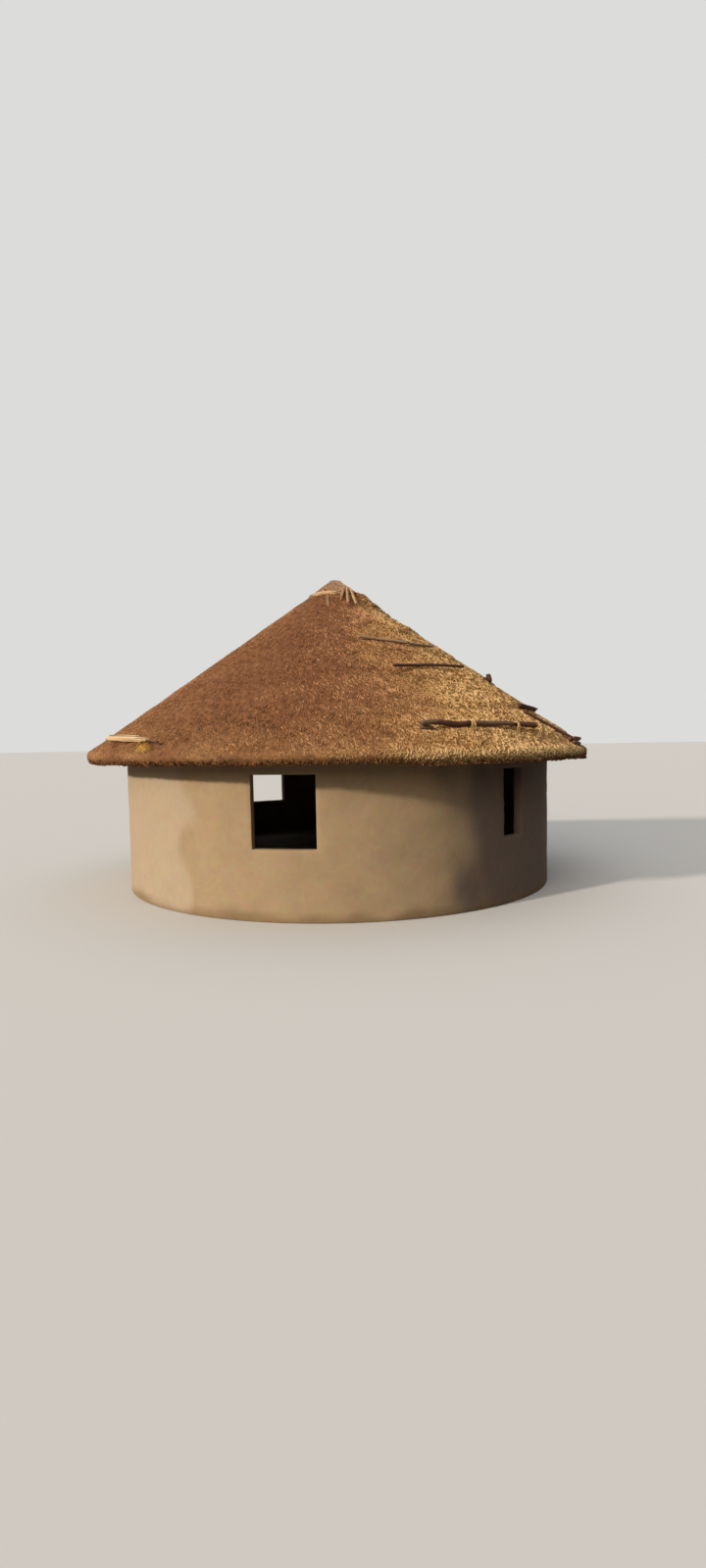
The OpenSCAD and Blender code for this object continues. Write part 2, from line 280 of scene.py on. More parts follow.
class Heap:
    """Gathers the points, faces and tints of many shapes into one mesh."""

    def __init__(self):
        self.points = []
        self.faces = []
        self.tints = []
        self.total = 0

    def add(self, points, faces, tints):
        """Adds points, rows of their indices as faces, and one tint or one for each point."""
        self.points.append(points.reshape(-1, 3))
        self.faces.append(faces + self.total)
        self.tints.append(np.broadcast_to(tints, points.shape).reshape(-1, 3))
        self.total += len(self.points[-1])

    def close(self, loop):
        """Adds one face round a loop of the points that were added last."""
        self.faces.append(loop[None] + self.total - len(self.points[-1]))

    def piece(self, name, material, slot, *nodes, smooth_faces=False, tint_map=False):
        """Makes the piece, which rides on the hut and stands for the nodes."""
        mesh = bpy.data.meshes.new(name)
        points = np.concatenate(self.points).astype(np.float32)
        tints = np.concatenate(self.tints).astype(np.float32)
        loops = np.concatenate([f.ravel() for f in self.faces]).astype(np.int32)
        counts = np.concatenate([np.full(len(f), f.shape[1]) for f in self.faces]).astype(np.int32)
        mesh.vertices.add(len(points))
        mesh.vertices.foreach_set("co", points.ravel())
        mesh.loops.add(len(loops))
        mesh.loops.foreach_set("vertex_index", loops)
        mesh.polygons.add(len(counts))
        mesh.polygons.foreach_set("loop_start", np.cumsum(counts) - counts)
        mesh.polygons.foreach_set("loop_total", counts)
        mesh.polygons.foreach_set("use_smooth", np.full(len(counts), smooth_faces))
        mesh.attributes.new("tint", "FLOAT_VECTOR", "POINT").data.foreach_set("vector", tints.ravel())
        if tint_map:
            # The material reads nothing but the tint, so the OFBake map can be laid out by it
            layer = mesh.uv_layers.new(name="OFBake")
            layer.uv.foreach_set("vector", np.clip(tints[loops][:, :2], 0.01, 0.99).ravel())
        mesh.update(calc_edges=True)
        made = bpy.data.objects.new(name, mesh)
        bpy.context.scene.collection.objects.link(made)
        made.data.materials.append(material)
        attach(made, BODY)
        if nodes:
            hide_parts(*nodes)
        return made


def grid_faces(rows, columns, closed=False):
    """Faces of a grid of rows by columns points; a closed one joins its last column to its first."""
    r, c = np.meshgrid(np.arange(rows - 1), np.arange(columns if closed else columns - 1), indexing="ij")
    after = (c + 1) % columns
    corner = [r * columns + c, (r + 1) * columns + c, (r + 1) * columns + after, r * columns + after]
    return np.stack(corner, -1).reshape(-1, 4)


STRAW_FACES = np.array([[0, 3, 1], [0, 2, 3], [0, 1, 2], [1, 3, 2]])
BENT_FACES = np.array([
    [0, 3, 1], [0, 2, 3], [0, 1, 2], [1, 3, 6], [1, 6, 4],
    [3, 2, 5], [3, 5, 6], [2, 1, 4], [2, 4, 5], [4, 6, 5]])


def straws(heap, butt, along, out, size, tints, bury=0.012, bend=None):
    """Closed wedges of straw, each from a tip buried up the slope to a butt that stands proud. Their
    undersides lie bury deep. along and out are unit vectors, and size has a length, a width and a
    height for each straw. Straws with a bend have a middle, which lies off their line by about half
    that share of their length."""
    run, width, height = (column[:, None] for column in size.T)
    side = np.cross(along, out)
    half, deep = side * width / 2, out * bury
    points = [butt - along * run - deep, butt - half - deep, butt + half - deep, butt + out * height]
    # The tip and the edges lie in shade, and the crest catches the light
    shade = [-0.12, -0.16, -0.1, 0.1]
    faces = STRAW_FACES
    if bend is not None:
        middle = (side * bend[:, None] - along) * run * 0.45
        points[1:1] = [point + middle for point in points[1:]]
        shade[1:1] = [-0.14, -0.1, 0.06]
        faces = BENT_FACES
    count = len(points)
    tints = np.repeat(tints[:, None], count, 1)
    tints[:, :, 0] += np.array(shade)
    faces = faces + count * np.arange(len(butt))[:, None, None]
    heap.add(np.stack(points, 1), faces.reshape(-1, 3), tints)


def tube(heap, path, radius, tints, sides, wobble=0.0):
    """A closed tube along (n, 3) points. radius is one value or n of them, tints are one, n of them
    or one for each of the tube's points, and wobble is a share of the radius."""
    n = len(path)
    ahead = unit(np.gradient(path, axis=0))
    helper = np.array([0, 0, 1.0]) if abs(ahead[:, 2]).max() < 0.9 else np.array([1.0, 0, 0])
    side = unit(np.cross(ahead, helper))
    top = np.cross(side, ahead)
    turn = np.arange(sides)[:, None] * 2 * math.pi / sides
    ring = side[:, None] * np.cos(turn) + top[:, None] * np.sin(turn)
    r = np.broadcast_to(np.reshape(radius, (-1, 1)) * (1 + wobble), (n, sides))
    if np.ndim(tints) == 2:
        tints = tints[:, None]
    heap.add(path[:, None] + ring * r[:, :, None], grid_faces(n, sides, closed=True), tints)
    heap.close(np.arange(sides))
    heap.close(np.arange(sides)[::-1] + (n - 1) * sides)


def add(tree, kind, inputs=None, stops=None, **settings):
    """Adds one node. inputs maps a socket to a value or to the socket that it is linked from, and
    stops are the (place, colour) pairs of a ramp."""
    made = tree.nodes.new("ShaderNode" + kind)
    for name, value in settings.items():
        setattr(made, name, value)
    for key, value in (inputs or {}).items():
        if isinstance(value, bpy.types.NodeSocket):
            tree.links.new(value, made.inputs[key])
        else:
            made.inputs[key].default_value = value
    for i, (place, colour) in enumerate(stops or []):
        spot = made.color_ramp.elements[i] if i < 2 else made.color_ramp.elements.new(place)
        spot.position = place
        spot.color = (*colour, 1)
    return made


def new_material(name):
    """A material with an empty tree, and that tree."""
    made = bpy.data.materials.new(name)
    made.use_nodes = True
    made.node_tree.nodes.clear()
    return made, made.node_tree


def surface(tree, **inputs):
    """Ends a material in one Principled shader with these inputs."""
    shader = add(tree, "BsdfPrincipled", {key.replace("_", " "): value for key, value in inputs.items()})
    add(tree, "OutputMaterial", {"Surface": shader.outputs[0]})


def shaded(colour, share):
    """A colour made lighter by a share, or darker where the share is below 0."""
    return tuple(min(c * (1 + share), 1.0) for c in colour)


def read_tint(tree):
    """The tint that every point carries, whole and as its three parts."""
    whole = add(tree, "Attribute", attribute_name="tint").outputs["Vector"]
    return whole, add(tree, "SeparateXYZ", {0: whole}).outputs


def laid_straw(name, mid=None):
    """Grass thatch: dry stems with a waxy skin, which give a soft broken sheen. Each straw's tone
    and age come from its tint, so that one heap runs from browned butts to golden straw. A mid
    colour, where it is given, stands for both."""
    made, tree = new_material(name)
    c = colours()
    _, parts = read_tint(tree)
    dressed = (c.dressed_gap_shade, c.dressed_mid, c.dressed_light)
    fresh = (c.fresh_gap_shade, c.fresh_mid, c.fresh_light)
    if mid is not None:
        dressed = fresh = (shaded(mid, -0.72), mid, shaded(mid, 0.75))
    # The low end of each ramp is painted shade between the straws; given a mid colour, its darkened copy is
    # painted shade too
    browned, golden = (
        add(tree, "ValToRGB", {"Fac": parts["X"]}, stops=[(0.0, gap), (1.0, light), (0.5, middle)])
        for gap, middle, light in (dressed, fresh))
    mixed = add(tree, "Mix", {"Factor": parts["Y"], "A": browned.outputs[0], "B": golden.outputs[0]},
                data_type="RGBA")
    surface(tree, Base_Color=mixed.outputs["Result"], Roughness=0.78, Specular_IOR_Level=0.25)
    return made


def floated_plaster(name):
    """Cement plaster rubbed up with a wood float: a matt sandy face with the float's round marks,
    cloudy where it dried unevenly, darker at the splashed foot, and with painted shade on the side
    that the key lamp leaves in shade."""
    made, tree = new_material(name)
    c = colours()
    place = add(tree, "TexCoord").outputs["Object"]
    _, parts = read_tint(tree)
    # Clouds of about 700 mm, as one mixing of plaster goes on
    clouds = add(tree, "TexNoise", {"Vector": place, "Scale": 1 / 0.7, "Detail": 5.0, "Roughness": 0.6})
    cloudy = add(tree, "ValToRGB", {"Fac": clouds.outputs["Fac"]}, stops=[
        (0.3, shaded(c.plaster, -0.09)), (0.7, shaded(c.plaster, 0.05)), (0.5, c.plaster)])
    colour = cloudy.outputs[0]
    # Paler where the plaster dried, painted shade on the side that the key lamp leaves in shade, and darker
    # at the damp foot
    for part, over in (("X", c.plaster_pale), ("Z", c.plaster_painted_shade), ("Y", c.plaster_damp)):
        mixed = add(tree, "Mix", {"Factor": parts[part], "A": colour, "B": (*over, 1)}, data_type="RGBA")
        colour = mixed.outputs["Result"]
    # Arcs left by a float about 250 mm long
    marks = add(tree, "TexNoise", {"Vector": place, "Scale": 1 / 0.25, "Detail": 3.0, "Distortion": 1.8})
    fine = add(tree, "TexNoise", {"Vector": place, "Scale": 1 / 0.03, "Detail": 2.0})
    marked = add(tree, "Mix", {"Factor": 0.22, "A": colour, "B": marks.outputs["Color"]},
                 data_type="RGBA", blend_type="SOFT_LIGHT")
    # Sand grains of 2 mm are too fine to show, so the grit is drawn at 30 mm
    height = add(tree, "Math", {0: marks.outputs["Fac"], 1: fine.outputs["Fac"]}, operation="MULTIPLY")
    bump = add(tree, "Bump", {"Height": height.outputs[0], "Strength": 0.35, "Distance": 0.012})
    surface(tree, Base_Color=marked.outputs["Result"], Roughness=0.92, Normal=bump.outputs[0],
            Specular_IOR_Level=0.25)
    return made


def round_pole(name, dark, light, grain_mm, along_hoops=False):
    """Pole wood, debarked and left to season: grain and drying cracks run along the pole, with
    darker patches where bast was left on. Grain is drawn wider than it is, so that it shows."""
    made, tree = new_material(name)
    place = add(tree, "TexCoord").outputs["Object"]
    parts = add(tree, "SeparateXYZ", {0: place}).outputs
    bearing = add(tree, "Math", {0: parts["X"], 1: parts["Y"]}, operation="ARCTAN2")
    level = add(tree, "VectorMath", {0: place, 1: (1, 1, 0)}, operation="MULTIPLY")
    radius = add(tree, "VectorMath", {0: level.outputs[0]}, operation="LENGTH")
    # How much finer than a metre the pattern is round the hut, outward and upward
    fine = 1000 / grain_mm
    coarse = fine / 12
    stretch = (coarse, fine, fine) if along_hoops else (fine * 2, coarse, coarse)
    spread = add(tree, "CombineXYZ", {"X": bearing.outputs[0], "Y": radius.outputs["Value"], "Z": parts["Z"]})
    scaled = add(tree, "VectorMath", {0: spread.outputs[0], 1: stretch}, operation="MULTIPLY")
    grain = add(tree, "TexNoise", {
        "Vector": scaled.outputs[0], "Scale": 1.0, "Detail": 4.0, "Roughness": 0.65})
    # Patches of bast about 250 mm long
    patches = add(tree, "TexNoise", {"Vector": place, "Scale": 1 / 0.25, "Detail": 2.0})
    both = add(tree, "Math", {0: grain.outputs["Fac"], 1: patches.outputs["Fac"]}, operation="ADD")
    half = add(tree, "Math", {0: both.outputs[0], 1: 0.5}, operation="MULTIPLY")
    wood = add(tree, "ValToRGB", {"Fac": half.outputs[0]}, stops=[(0.35, dark), (0.65, light)])
    bump = add(tree, "Bump", {"Height": grain.outputs["Fac"], "Strength": 0.5, "Distance": 0.006})
    surface(tree, Base_Color=wood.outputs[0], Roughness=0.7, Normal=bump.outputs[0])
    return made


def tinted_pole(name, dark, light):
    """Weathered pole wood. The tint's X runs along the log, Y round it, and Z says how freshly it
    was peeled, so that grain follows each log wherever it points."""
    made, tree = new_material(name)
    whole, parts = read_tint(tree)
    # Grain about 12 mm wide and 300 mm long
    scaled = add(tree, "VectorMath", {0: whole, 1: (1 / 0.3, 1 / 0.012, 3.0)}, operation="MULTIPLY")
    grain = add(tree, "TexNoise", {
        "Vector": scaled.outputs[0], "Scale": 1.0, "Detail": 4.0, "Roughness": 0.6})
    wood, peeled = (
        add(tree, "ValToRGB", {"Fac": grain.outputs["Fac"]}, stops=[
            (0.35, shaded(colour, low)), (0.7, shaded(colour, high))])
        for colour, low, high in ((dark, -0.4, 0.6), (light, -0.45, 0.2)))
    mixed = add(tree, "Mix", {"Factor": parts["Z"], "A": wood.outputs[0], "B": peeled.outputs[0]},
                data_type="RGBA")
    bump = add(tree, "Bump", {"Height": grain.outputs["Fac"], "Strength": 0.6, "Distance": 0.005})
    surface(tree, Base_Color=mixed.outputs["Result"], Roughness=0.8, Normal=bump.outputs[0],
            Specular_IOR_Level=0.3)
    return made


def stony(name, colour, stone_mm, relief_mm, roughness):
    """Screed or rammed hardcore: cloudy and matt, with a pitted or stony face."""
    made, tree = new_material(name)
    place = add(tree, "TexCoord").outputs["Object"]
    # Clouds of about 625 mm, over stones of their own size
    clouds = add(tree, "TexNoise", {"Vector": place, "Scale": 1 / 0.625, "Detail": 6.0, "Roughness": 0.62})
    stones = add(tree, "TexVoronoi", {"Vector": place, "Scale": 1000 / stone_mm})
    relief = stones.outputs["Distance"]
    both = add(tree, "Mix", {"Factor": 0.35, "A": clouds.outputs["Fac"], "B": relief}, data_type="FLOAT")
    toned = add(tree, "ValToRGB", {"Fac": both.outputs["Result"]}, stops=[
        (0.25, shaded(colour, -0.3)), (0.7, shaded(colour, 0.15))])
    bump = add(tree, "Bump", {"Height": relief, "Strength": 0.5, "Distance": relief_mm / 1000})
    surface(tree, Base_Color=toned.outputs[0], Roughness=roughness, Normal=bump.outputs[0])
    return made


def seen_rays(tree):
    """1 for the rays that show a thing, straight or by a shine, and 0 for those that light one."""
    rays = add(tree, "LightPath").outputs
    shines = add(tree, "Math", {0: rays["Is Glossy Ray"], 1: rays["Is Transmission Ray"]}, operation="ADD")
    seen = add(tree, "Math", {0: rays["Is Camera Ray"], 1: shines.outputs[0]}, operation="ADD")
    return seen.outputs[0]


def dress_node(node, material):
    """Gives a node that is carried over its material."""
    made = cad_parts[node]
    made.data.materials.clear()
    made.data.materials.append(material)


# The wall's skin has points on its outer face, half way through and on its inner face. The foundation
# reaches further in than the wall, and the ledge between them takes two rows this far apart
WALL_LAYERS = 3
LEDGE_STEP = 0.001


class HUT_OT_plaster_wall(bpy.types.Operator):
    """Builds the plastered wall as one skin, with its openings, over panels, aprons and beam"""

    bl_idname = "hut.plaster_wall"
    bl_label = "Plaster wall"

    def columns(self, openings, cell):
        """Bearings of the columns of points on the outer face, and of the same ones on the inner
        face, with a column at each side of every opening."""
        knots = sorted((b + side * o, b + side * i) for b, o, i, _ in openings for side in (-1, 1))
        outside, inside = [], []
        for (a, ai), (b, bi) in zip(knots, knots[1:] + [(knots[0][0] + 360, knots[0][1] + 360)]):
            steps = max(2, round(math.radians(b - a) * WALL_R / cell))
            share = np.arange(steps) / steps
            outside.append(between(a, b, share))
            inside.append(between(ai, bi, share))
        return np.concatenate(outside), np.concatenate(inside)

    def rows(self, openings, cell):
        """Heights of the rows of points, with one at every sill and head."""
        marks = {0.0, FOOT_TOP_Z - LEDGE_STEP, FOOT_TOP_Z, HEAD_Z, *(round(sill, 4) for *_, sill in openings)}
        marks = [*sorted(marks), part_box("ring_beam")[1].z - (WALL_R - INNER_R) * SLOPE]
        rows = []
        for low, high in zip(marks, marks[1:]):
            steps = max(1, round((high - low) / cell))
            rows.append(low + (high - low) * np.arange(steps) / steps)
        return np.append(np.concatenate(rows), marks[-1])

    def solid_cells(self, openings, bearing, z):
        """Which cells between rows and columns are wall, and not opening."""
        middle_b = bearing + (np.append(bearing[1:], bearing[0] + 360) - bearing) / 2
        middle_z = (z[1:] + z[:-1]) / 2
        solid = np.ones((len(middle_z), len(middle_b)), bool)
        for at, half, _, sill in openings:
            away = abs((middle_b - at + 180) % 360 - 180)
            solid &= ~((away < half)[None] & ((middle_z > sill) & (middle_z < HEAD_Z))[:, None])
        return solid

    def wear(self, points, solid, bearing):
        """Lets both faces wander a little, and chips the arrises of the openings."""
        s = sizes()
        flat = points[0].reshape(-1, 3)
        shape = points.shape[1:3]
        wander = waves(flat, 0.9, s.seed) + 0.5 * waves(flat, 0.35, s.seed + 1)
        wander = (wander * s.plaster_wave / 1.5).reshape(shape)
        beside = ~solid | np.roll(~solid, 1, 1)
        edge = np.pad(beside, ((0, 1), (0, 0))) | np.pad(beside, ((1, 0), (0, 0)))
        chips = np.clip(waves(flat, 0.12, s.seed + 2), 0.2, 1.4).reshape(shape) - 0.2
        move = wander - edge * chips * s.arris_chip
        move[0] = 0
        move[-1] = np.minimum(move[-1], 0)
        out = placed(1.0, 0.0, bearing)
        points[0] += out * move[:, :, None]
        points[-1] -= out * np.minimum(wander, 0)[:, :, None]

    def faces(self, solid, shape):
        """The two faces of the wall, then its foot, its head and the reveals of its openings."""
        index = np.arange(math.prod(shape)).reshape(shape)
        found = []

        def quads(cells, *steps):
            """One face for each true cell, through four points by layer, row and column from it."""
            r, c = np.nonzero(cells)
            around = [index[layer, r + up, (c + on) % shape[2]] for layer, up, on in steps]
            found.append(np.stack(around, -1))

        quads(solid, (0, 0, 0), (0, 0, 1), (0, 1, 1), (0, 1, 0))
        quads(solid, (-1, 0, 0), (-1, 1, 0), (-1, 1, 1), (-1, 0, 1))
        padded = np.pad(solid, ((1, 1), (0, 0)))
        before = np.roll(solid, 1, 1)
        for k in range(WALL_LAYERS - 1):
            quads(padded[:-1] & ~padded[1:], (k, 0, 0), (k, 0, 1), (k + 1, 0, 1), (k + 1, 0, 0))
            quads(~padded[:-1] & padded[1:], (k, 0, 0), (k + 1, 0, 0), (k + 1, 0, 1), (k, 0, 1))
            quads(solid & ~before, (k, 0, 0), (k, 1, 0), (k + 1, 1, 0), (k + 1, 0, 0))
            quads(~solid & before, (k, 0, 0), (k + 1, 0, 0), (k + 1, 1, 0), (k, 1, 0))
        return np.concatenate(found)

    def execute(self, context):
        s = sizes()
        openings = []
        for bearing, node in OPENINGS:
            half = across(node, bearing) / 2
            outer, inner = (math.degrees(math.asin(half / r)) for r in (WALL_R, INNER_R))
            openings.append((bearing, outer, inner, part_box(node)[1].z))
        outer_b, inner_b = self.columns(openings, s.plaster_cell)
        z = self.rows(openings, s.plaster_cell)
        solid = self.solid_cells(openings, outer_b, z)

        # Points by layer, row and column. The wall's head slopes as the rafters do
        share = np.linspace(0, 1, WALL_LAYERS)[:, None, None]
        bearing = between(outer_b, inner_b, share) + 0 * z[None, :, None]
        inner_r = np.where(z < FOOT_TOP_Z - LEDGE_STEP / 2, LEDGE_R, INNER_R)[None, :, None]
        radius = between(WALL_R, inner_r, share) + 0 * bearing
        height = z[None, :, None] + 0 * bearing
        height[:, -1] += (WALL_R - radius[:, -1]) * SLOPE
        points = placed(radius, height, bearing)
        self.wear(points, solid, bearing[0])

        # The tint's X is how dry the plaster is, its Y how damp its foot, and its Z how much painted
        # shade it takes on the side that the key lamp leaves in shade
        away = (bearing + 180) % 360 - 180
        cloud = waves(points.reshape(-1, 3), 1.1, s.seed + 3).reshape(bearing.shape)
        dry = smooth(-(away + 22) + 2 * cloud, 0, 4) * smooth(away + 118 + 4 * cloud, 0, 8)
        damp = 0.75 * (1 - smooth(height + 0.05 * cloud, 0.02, 0.22))
        # Painted shade: darker plaster from about 30-48 degrees round to 130-160, where the key lamp leaves
        # the wall in shade
        painted_shade = smooth(away + 3 * cloud, 30, 48) * (1 - smooth(away, 130, 160))
        tints = np.stack([0.85 * dry, damp, painted_shade], -1)

        used, faces = np.unique(self.faces(solid, bearing.shape), return_inverse=True)
        heap = Heap()
        heap.add(points.reshape(-1, 3)[used], faces.reshape(-1, 4), tints.reshape(-1, 3)[used])
        wall = heap.piece(
            "plaster_wall", floated_plaster("cement_plaster_floated"), "plaster",
            *PANELS, "front_window_apron", "side_window_apron", "back_window_apron",
            "ring_beam", "foundation_ring", smooth_faces=True)
        rounded = wall.modifiers.new("arrises", "BEVEL")
        rounded.width = s.arris_round
        rounded.segments = 2
        rounded.limit_method = "ANGLE"
        rounded.angle_limit = math.radians(55)
        return {"FINISHED"}


class HUT_OT_floor(bpy.types.Operator):
    """Finishes the floor, its fill and the threshold"""

    bl_idname = "hut.floor"
    bl_label = "Floor and threshold"

    def execute(self, context):
        c = colours()
        screed = stony("cement_screed_trowelled", c.screed, 90, 1.5, 0.8)
        dress_node("floor_slab", screed)
        dress_node("door_threshold", screed)
        dress_node("hardcore_fill", stony("hardcore_rammed", c.hardcore, 120, 20, 0.95))
        return {"FINISHED"}


class HUT_OT_roof_poles(bpy.types.Operator):
    """Finishes the rafters, the crown block and the hoops under the thatch"""

    bl_idname = "hut.roof_poles"
    bl_label = "Roof poles"

    def execute(self, context):
        c = colours()
        gum = round_pole("gum_pole_debarked", shaded(c.gum_pole, -0.45), shaded(c.gum_pole, 0.35), 14)
        split = round_pole("sapling_split", shaded(c.sapling, -0.4), shaded(c.sapling, 0.25), 8,
                           along_hoops=True)
        for node in ("main_rafters", "jack_rafters", "crown_block"):
            dress_node(node, gum)
        for node in ("eave_battens", "lower_battens", "upper_battens"):
            dress_node(node, split)
        return {"FINISHED"}


def down_to(r):
    """How far down the slope radius r is from the top of the lanes."""
    return (r - LANE_TOP_R) / DOWN[0]


def on_cone(r):
    """(radial, vertical) points on the thatch's top line at radius r."""
    return np.stack([r, APEX_Z - SLOPE * r], -1)


# Lengths along the thatch's profile: down the slope from the top of the lanes, round the eave, down
# the cut face of the butts, and round the lower lip
SLOPE_END_R = LIP_R + (THATCH_T - EAVE_ROUND) * UP[0] - EAVE_ROUND * DOWN[0] + EAVE_ROUND * UP[0]
SLOPE_RUN = down_to(SLOPE_END_R)
ROUND_END = SLOPE_RUN + EAVE_ROUND * math.pi / 2
FACE_END = ROUND_END + THATCH_T - EAVE_ROUND - LIP_ROUND
FULL_RUN = FACE_END + LIP_ROUND * math.pi / 2

# How far round the dressing has gone, in metres, at radii from the cap to the eave
DRESSED_TO = ((1.3, 0.66), (1.8, 0.55), (2.4, 0.6), (3.5, 0.62), (4.5, 0.6), (5.8, 0.3))


def fresh_rise(r, rolled):
    """How far the fresh courses stand over the thatch's top line at radius r. Their straws hang over
    the butts, so each step is a slope. rolled is 1 where the loose roll lies at the top."""
    eave = r > FIRST_BUTT_R
    course = np.floor((FIRST_BUTT_R - r) / COURSE_RUN)
    low = np.where(eave, SLOPE_END_R, FIRST_BUTT_R - course * COURSE_RUN)
    high = np.where(eave, FIRST_BUTT_R, low - COURSE_RUN)
    rise = COURSE_STEP - (COURSE_STEP + COURSE_DIP) * np.clip((low - r) / (low - high), 0, 1)
    rise = rise - EAVE_THIN * eave
    hang = np.where(eave, EAVE_HANG, BUTT_HANG)
    rise = between(COURSE_STEP, rise, smooth((r - high) / hang, 0, 1))
    last = FIRST_BUTT_R - COURSES * COURSE_RUN
    crest = between(0.003, ROLL_H, rolled)
    top = COURSE_STEP + (crest - COURSE_STEP) * np.clip((last - r) / (last - ROLL_R), 0, 1)
    return np.where(r < last, top * smooth(r, ROLL_R - 0.075, ROLL_R - 0.01), rise)


def profile(t, bearing):
    """The thatch's surface at distances t down it from the top of the lanes, at bearings: radius and
    height, the outward and the downward unit vectors, each as (radial, vertical) pairs, and how far
    it is from there down to the lip."""
    past = (bearing - FRESH_BEARING) % 360
    fresh = smooth(past, 0, 5) * (1 - smooth(past, FRESH_ANGLE - 5, FRESH_ANGLE))
    # The later lanes are thinner, and their thinner eave ends lower down the same slope
    later, lower = LANE_THIN * smooth(past, 56, 64), LOWER_THIN * smooth(past, 46, 62)
    eave = fresh * (COURSE_STEP - EAVE_THIN - (later + lower))
    lip = LIP_ROUND * (1 - 0.95 * fresh)
    run = np.clip(t, 0, SLOPE_RUN) - eave * SLOPE * np.clip((t - SLOPE_RUN) / 0.25 + 1, 0, 1)
    r = LANE_TOP_R + run * DOWN[0]
    wander = 0.06 * waves(placed(r, 0.0, bearing), 0.9, 28)
    thin = later * smooth(r, ROLL_R - 0.1, ROLL_R) + lower * smooth(r, 3.6, 5)
    rise = fresh * (fresh_rise(r + wander * (r > ROLL_R + 0.1), smooth(past, 30, 35)) - thin)
    slope = on_cone(r) + rise[:, None] * UP
    corner = np.array([LIP_R, LIP_Z]) - (eave * SLOPE)[:, None] * DOWN
    turn = np.clip((t - SLOPE_RUN) / (ROUND_END - SLOPE_RUN), 0, 1)[:, None] * math.pi / 2
    out = np.cos(turn) * UP + np.sin(turn) * DOWN
    down = np.cos(turn) * DOWN - np.sin(turn) * UP
    centre = corner + (THATCH_T + eave - EAVE_ROUND)[:, None] * UP - EAVE_ROUND * DOWN
    face = THATCH_T + eave - EAVE_ROUND - lip
    fall = np.clip((t - ROUND_END) / (FACE_END - ROUND_END), 0, 1) * face
    spot = centre + EAVE_ROUND * out - fall[:, None] * UP
    turn = np.clip((t - FACE_END) / (FULL_RUN - FACE_END), 0, 1)[:, None] * math.pi / 2
    under = (t > FACE_END)[:, None]
    out = np.where(under, np.cos(turn) * DOWN - np.sin(turn) * UP, out)
    down = np.where(under, -np.cos(turn) * UP - np.sin(turn) * DOWN, down)
    spot = np.where(under, corner + lip[:, None] * (UP - DOWN + out), spot)
    spot = np.where((t <= SLOPE_RUN)[:, None], slope, spot)
    left = face - fall + np.clip(ROUND_END - t, 0, None) - np.clip(t - FACE_END, 0, None)
    return spot, out, down, left


def freshness(points):
    """From 0 where the thatch is dressed to 1 where it is fresh. The boundary is soft and uneven:
    dressing has gone furthest round near the cap, and least along the eave."""
    bearing = np.degrees(np.arctan2(points[:, 0], -points[:, 1]))
    r = np.hypot(points[:, 0], points[:, 1])
    span = FRESH_ANGLE / 2
    inside = span - abs((bearing - FRESH_BEARING - span + 180) % 360 - 180)
    into = np.radians(inside) * r - np.interp(r, *zip(*DRESSED_TO))
    into = into + 0.25 * waves(points, 1.3, 31) + 0.1 * waves(points, 0.35, 32)
    near = smooth(into / (0.3 + 0.28 * r), -1, 1)
    eave = 0.3 * smooth(r, 4.6, 5.6) * (0.75 + 0.35 * waves(points, 0.9, 33))
    near = near * (1 - 0.4 * (1 - smooth(r, 0.8, 1.9)) * (0.8 + 0.4 * waves(points, 0.4, 34)))
    return np.clip(near + eave * (1 - near), 0, 1)


def lumps(points):
    """How far the thatch stands from its true cone."""
    return waves(points, 1.1, 21) * 0.005 + waves(points, 0.4, 22) * 0.002


def bed(t, bearing):
    """Where straws lie on the thatch, at distances down it and at bearings: points, and the unit
    vectors out of it, down it and across it, and how far it is down to the lip."""
    spot, out, down, left = profile(t, bearing)
    spot, out, down = (swept(each, bearing) for each in (spot, out, down))
    return spot + out * lumps(spot)[:, None], out, down, np.cross(down, out), left


def ruffle(heap, draw, t, bearing, leans, size, tone, age, spill=0.0):
    """Loose straws on the thatch. leans are how far they point down, out and across it, as a
    (least, greatest) pair each, and size has such pairs for a length, a width and a height. spill
    moves them along their own line."""
    n = len(t)
    spot, out, down, side, _ = bed(t, bearing)
    along = unit(sum(way * draw.uniform(*lean, n)[:, None] for way, lean in zip((down, out, side), leans)))
    out = unit(out - along * (out * along).sum(1)[:, None])
    size = drawn(draw, n, *size)
    bend = draw.normal(0, 0.15, n)
    butt = spot + along * (spill + draw.uniform(0, 0.03, n)[:, None])
    straws(heap, butt, along, out, size, tinted(tone + draw.normal(0, 0.18, n), age), bend=bend)


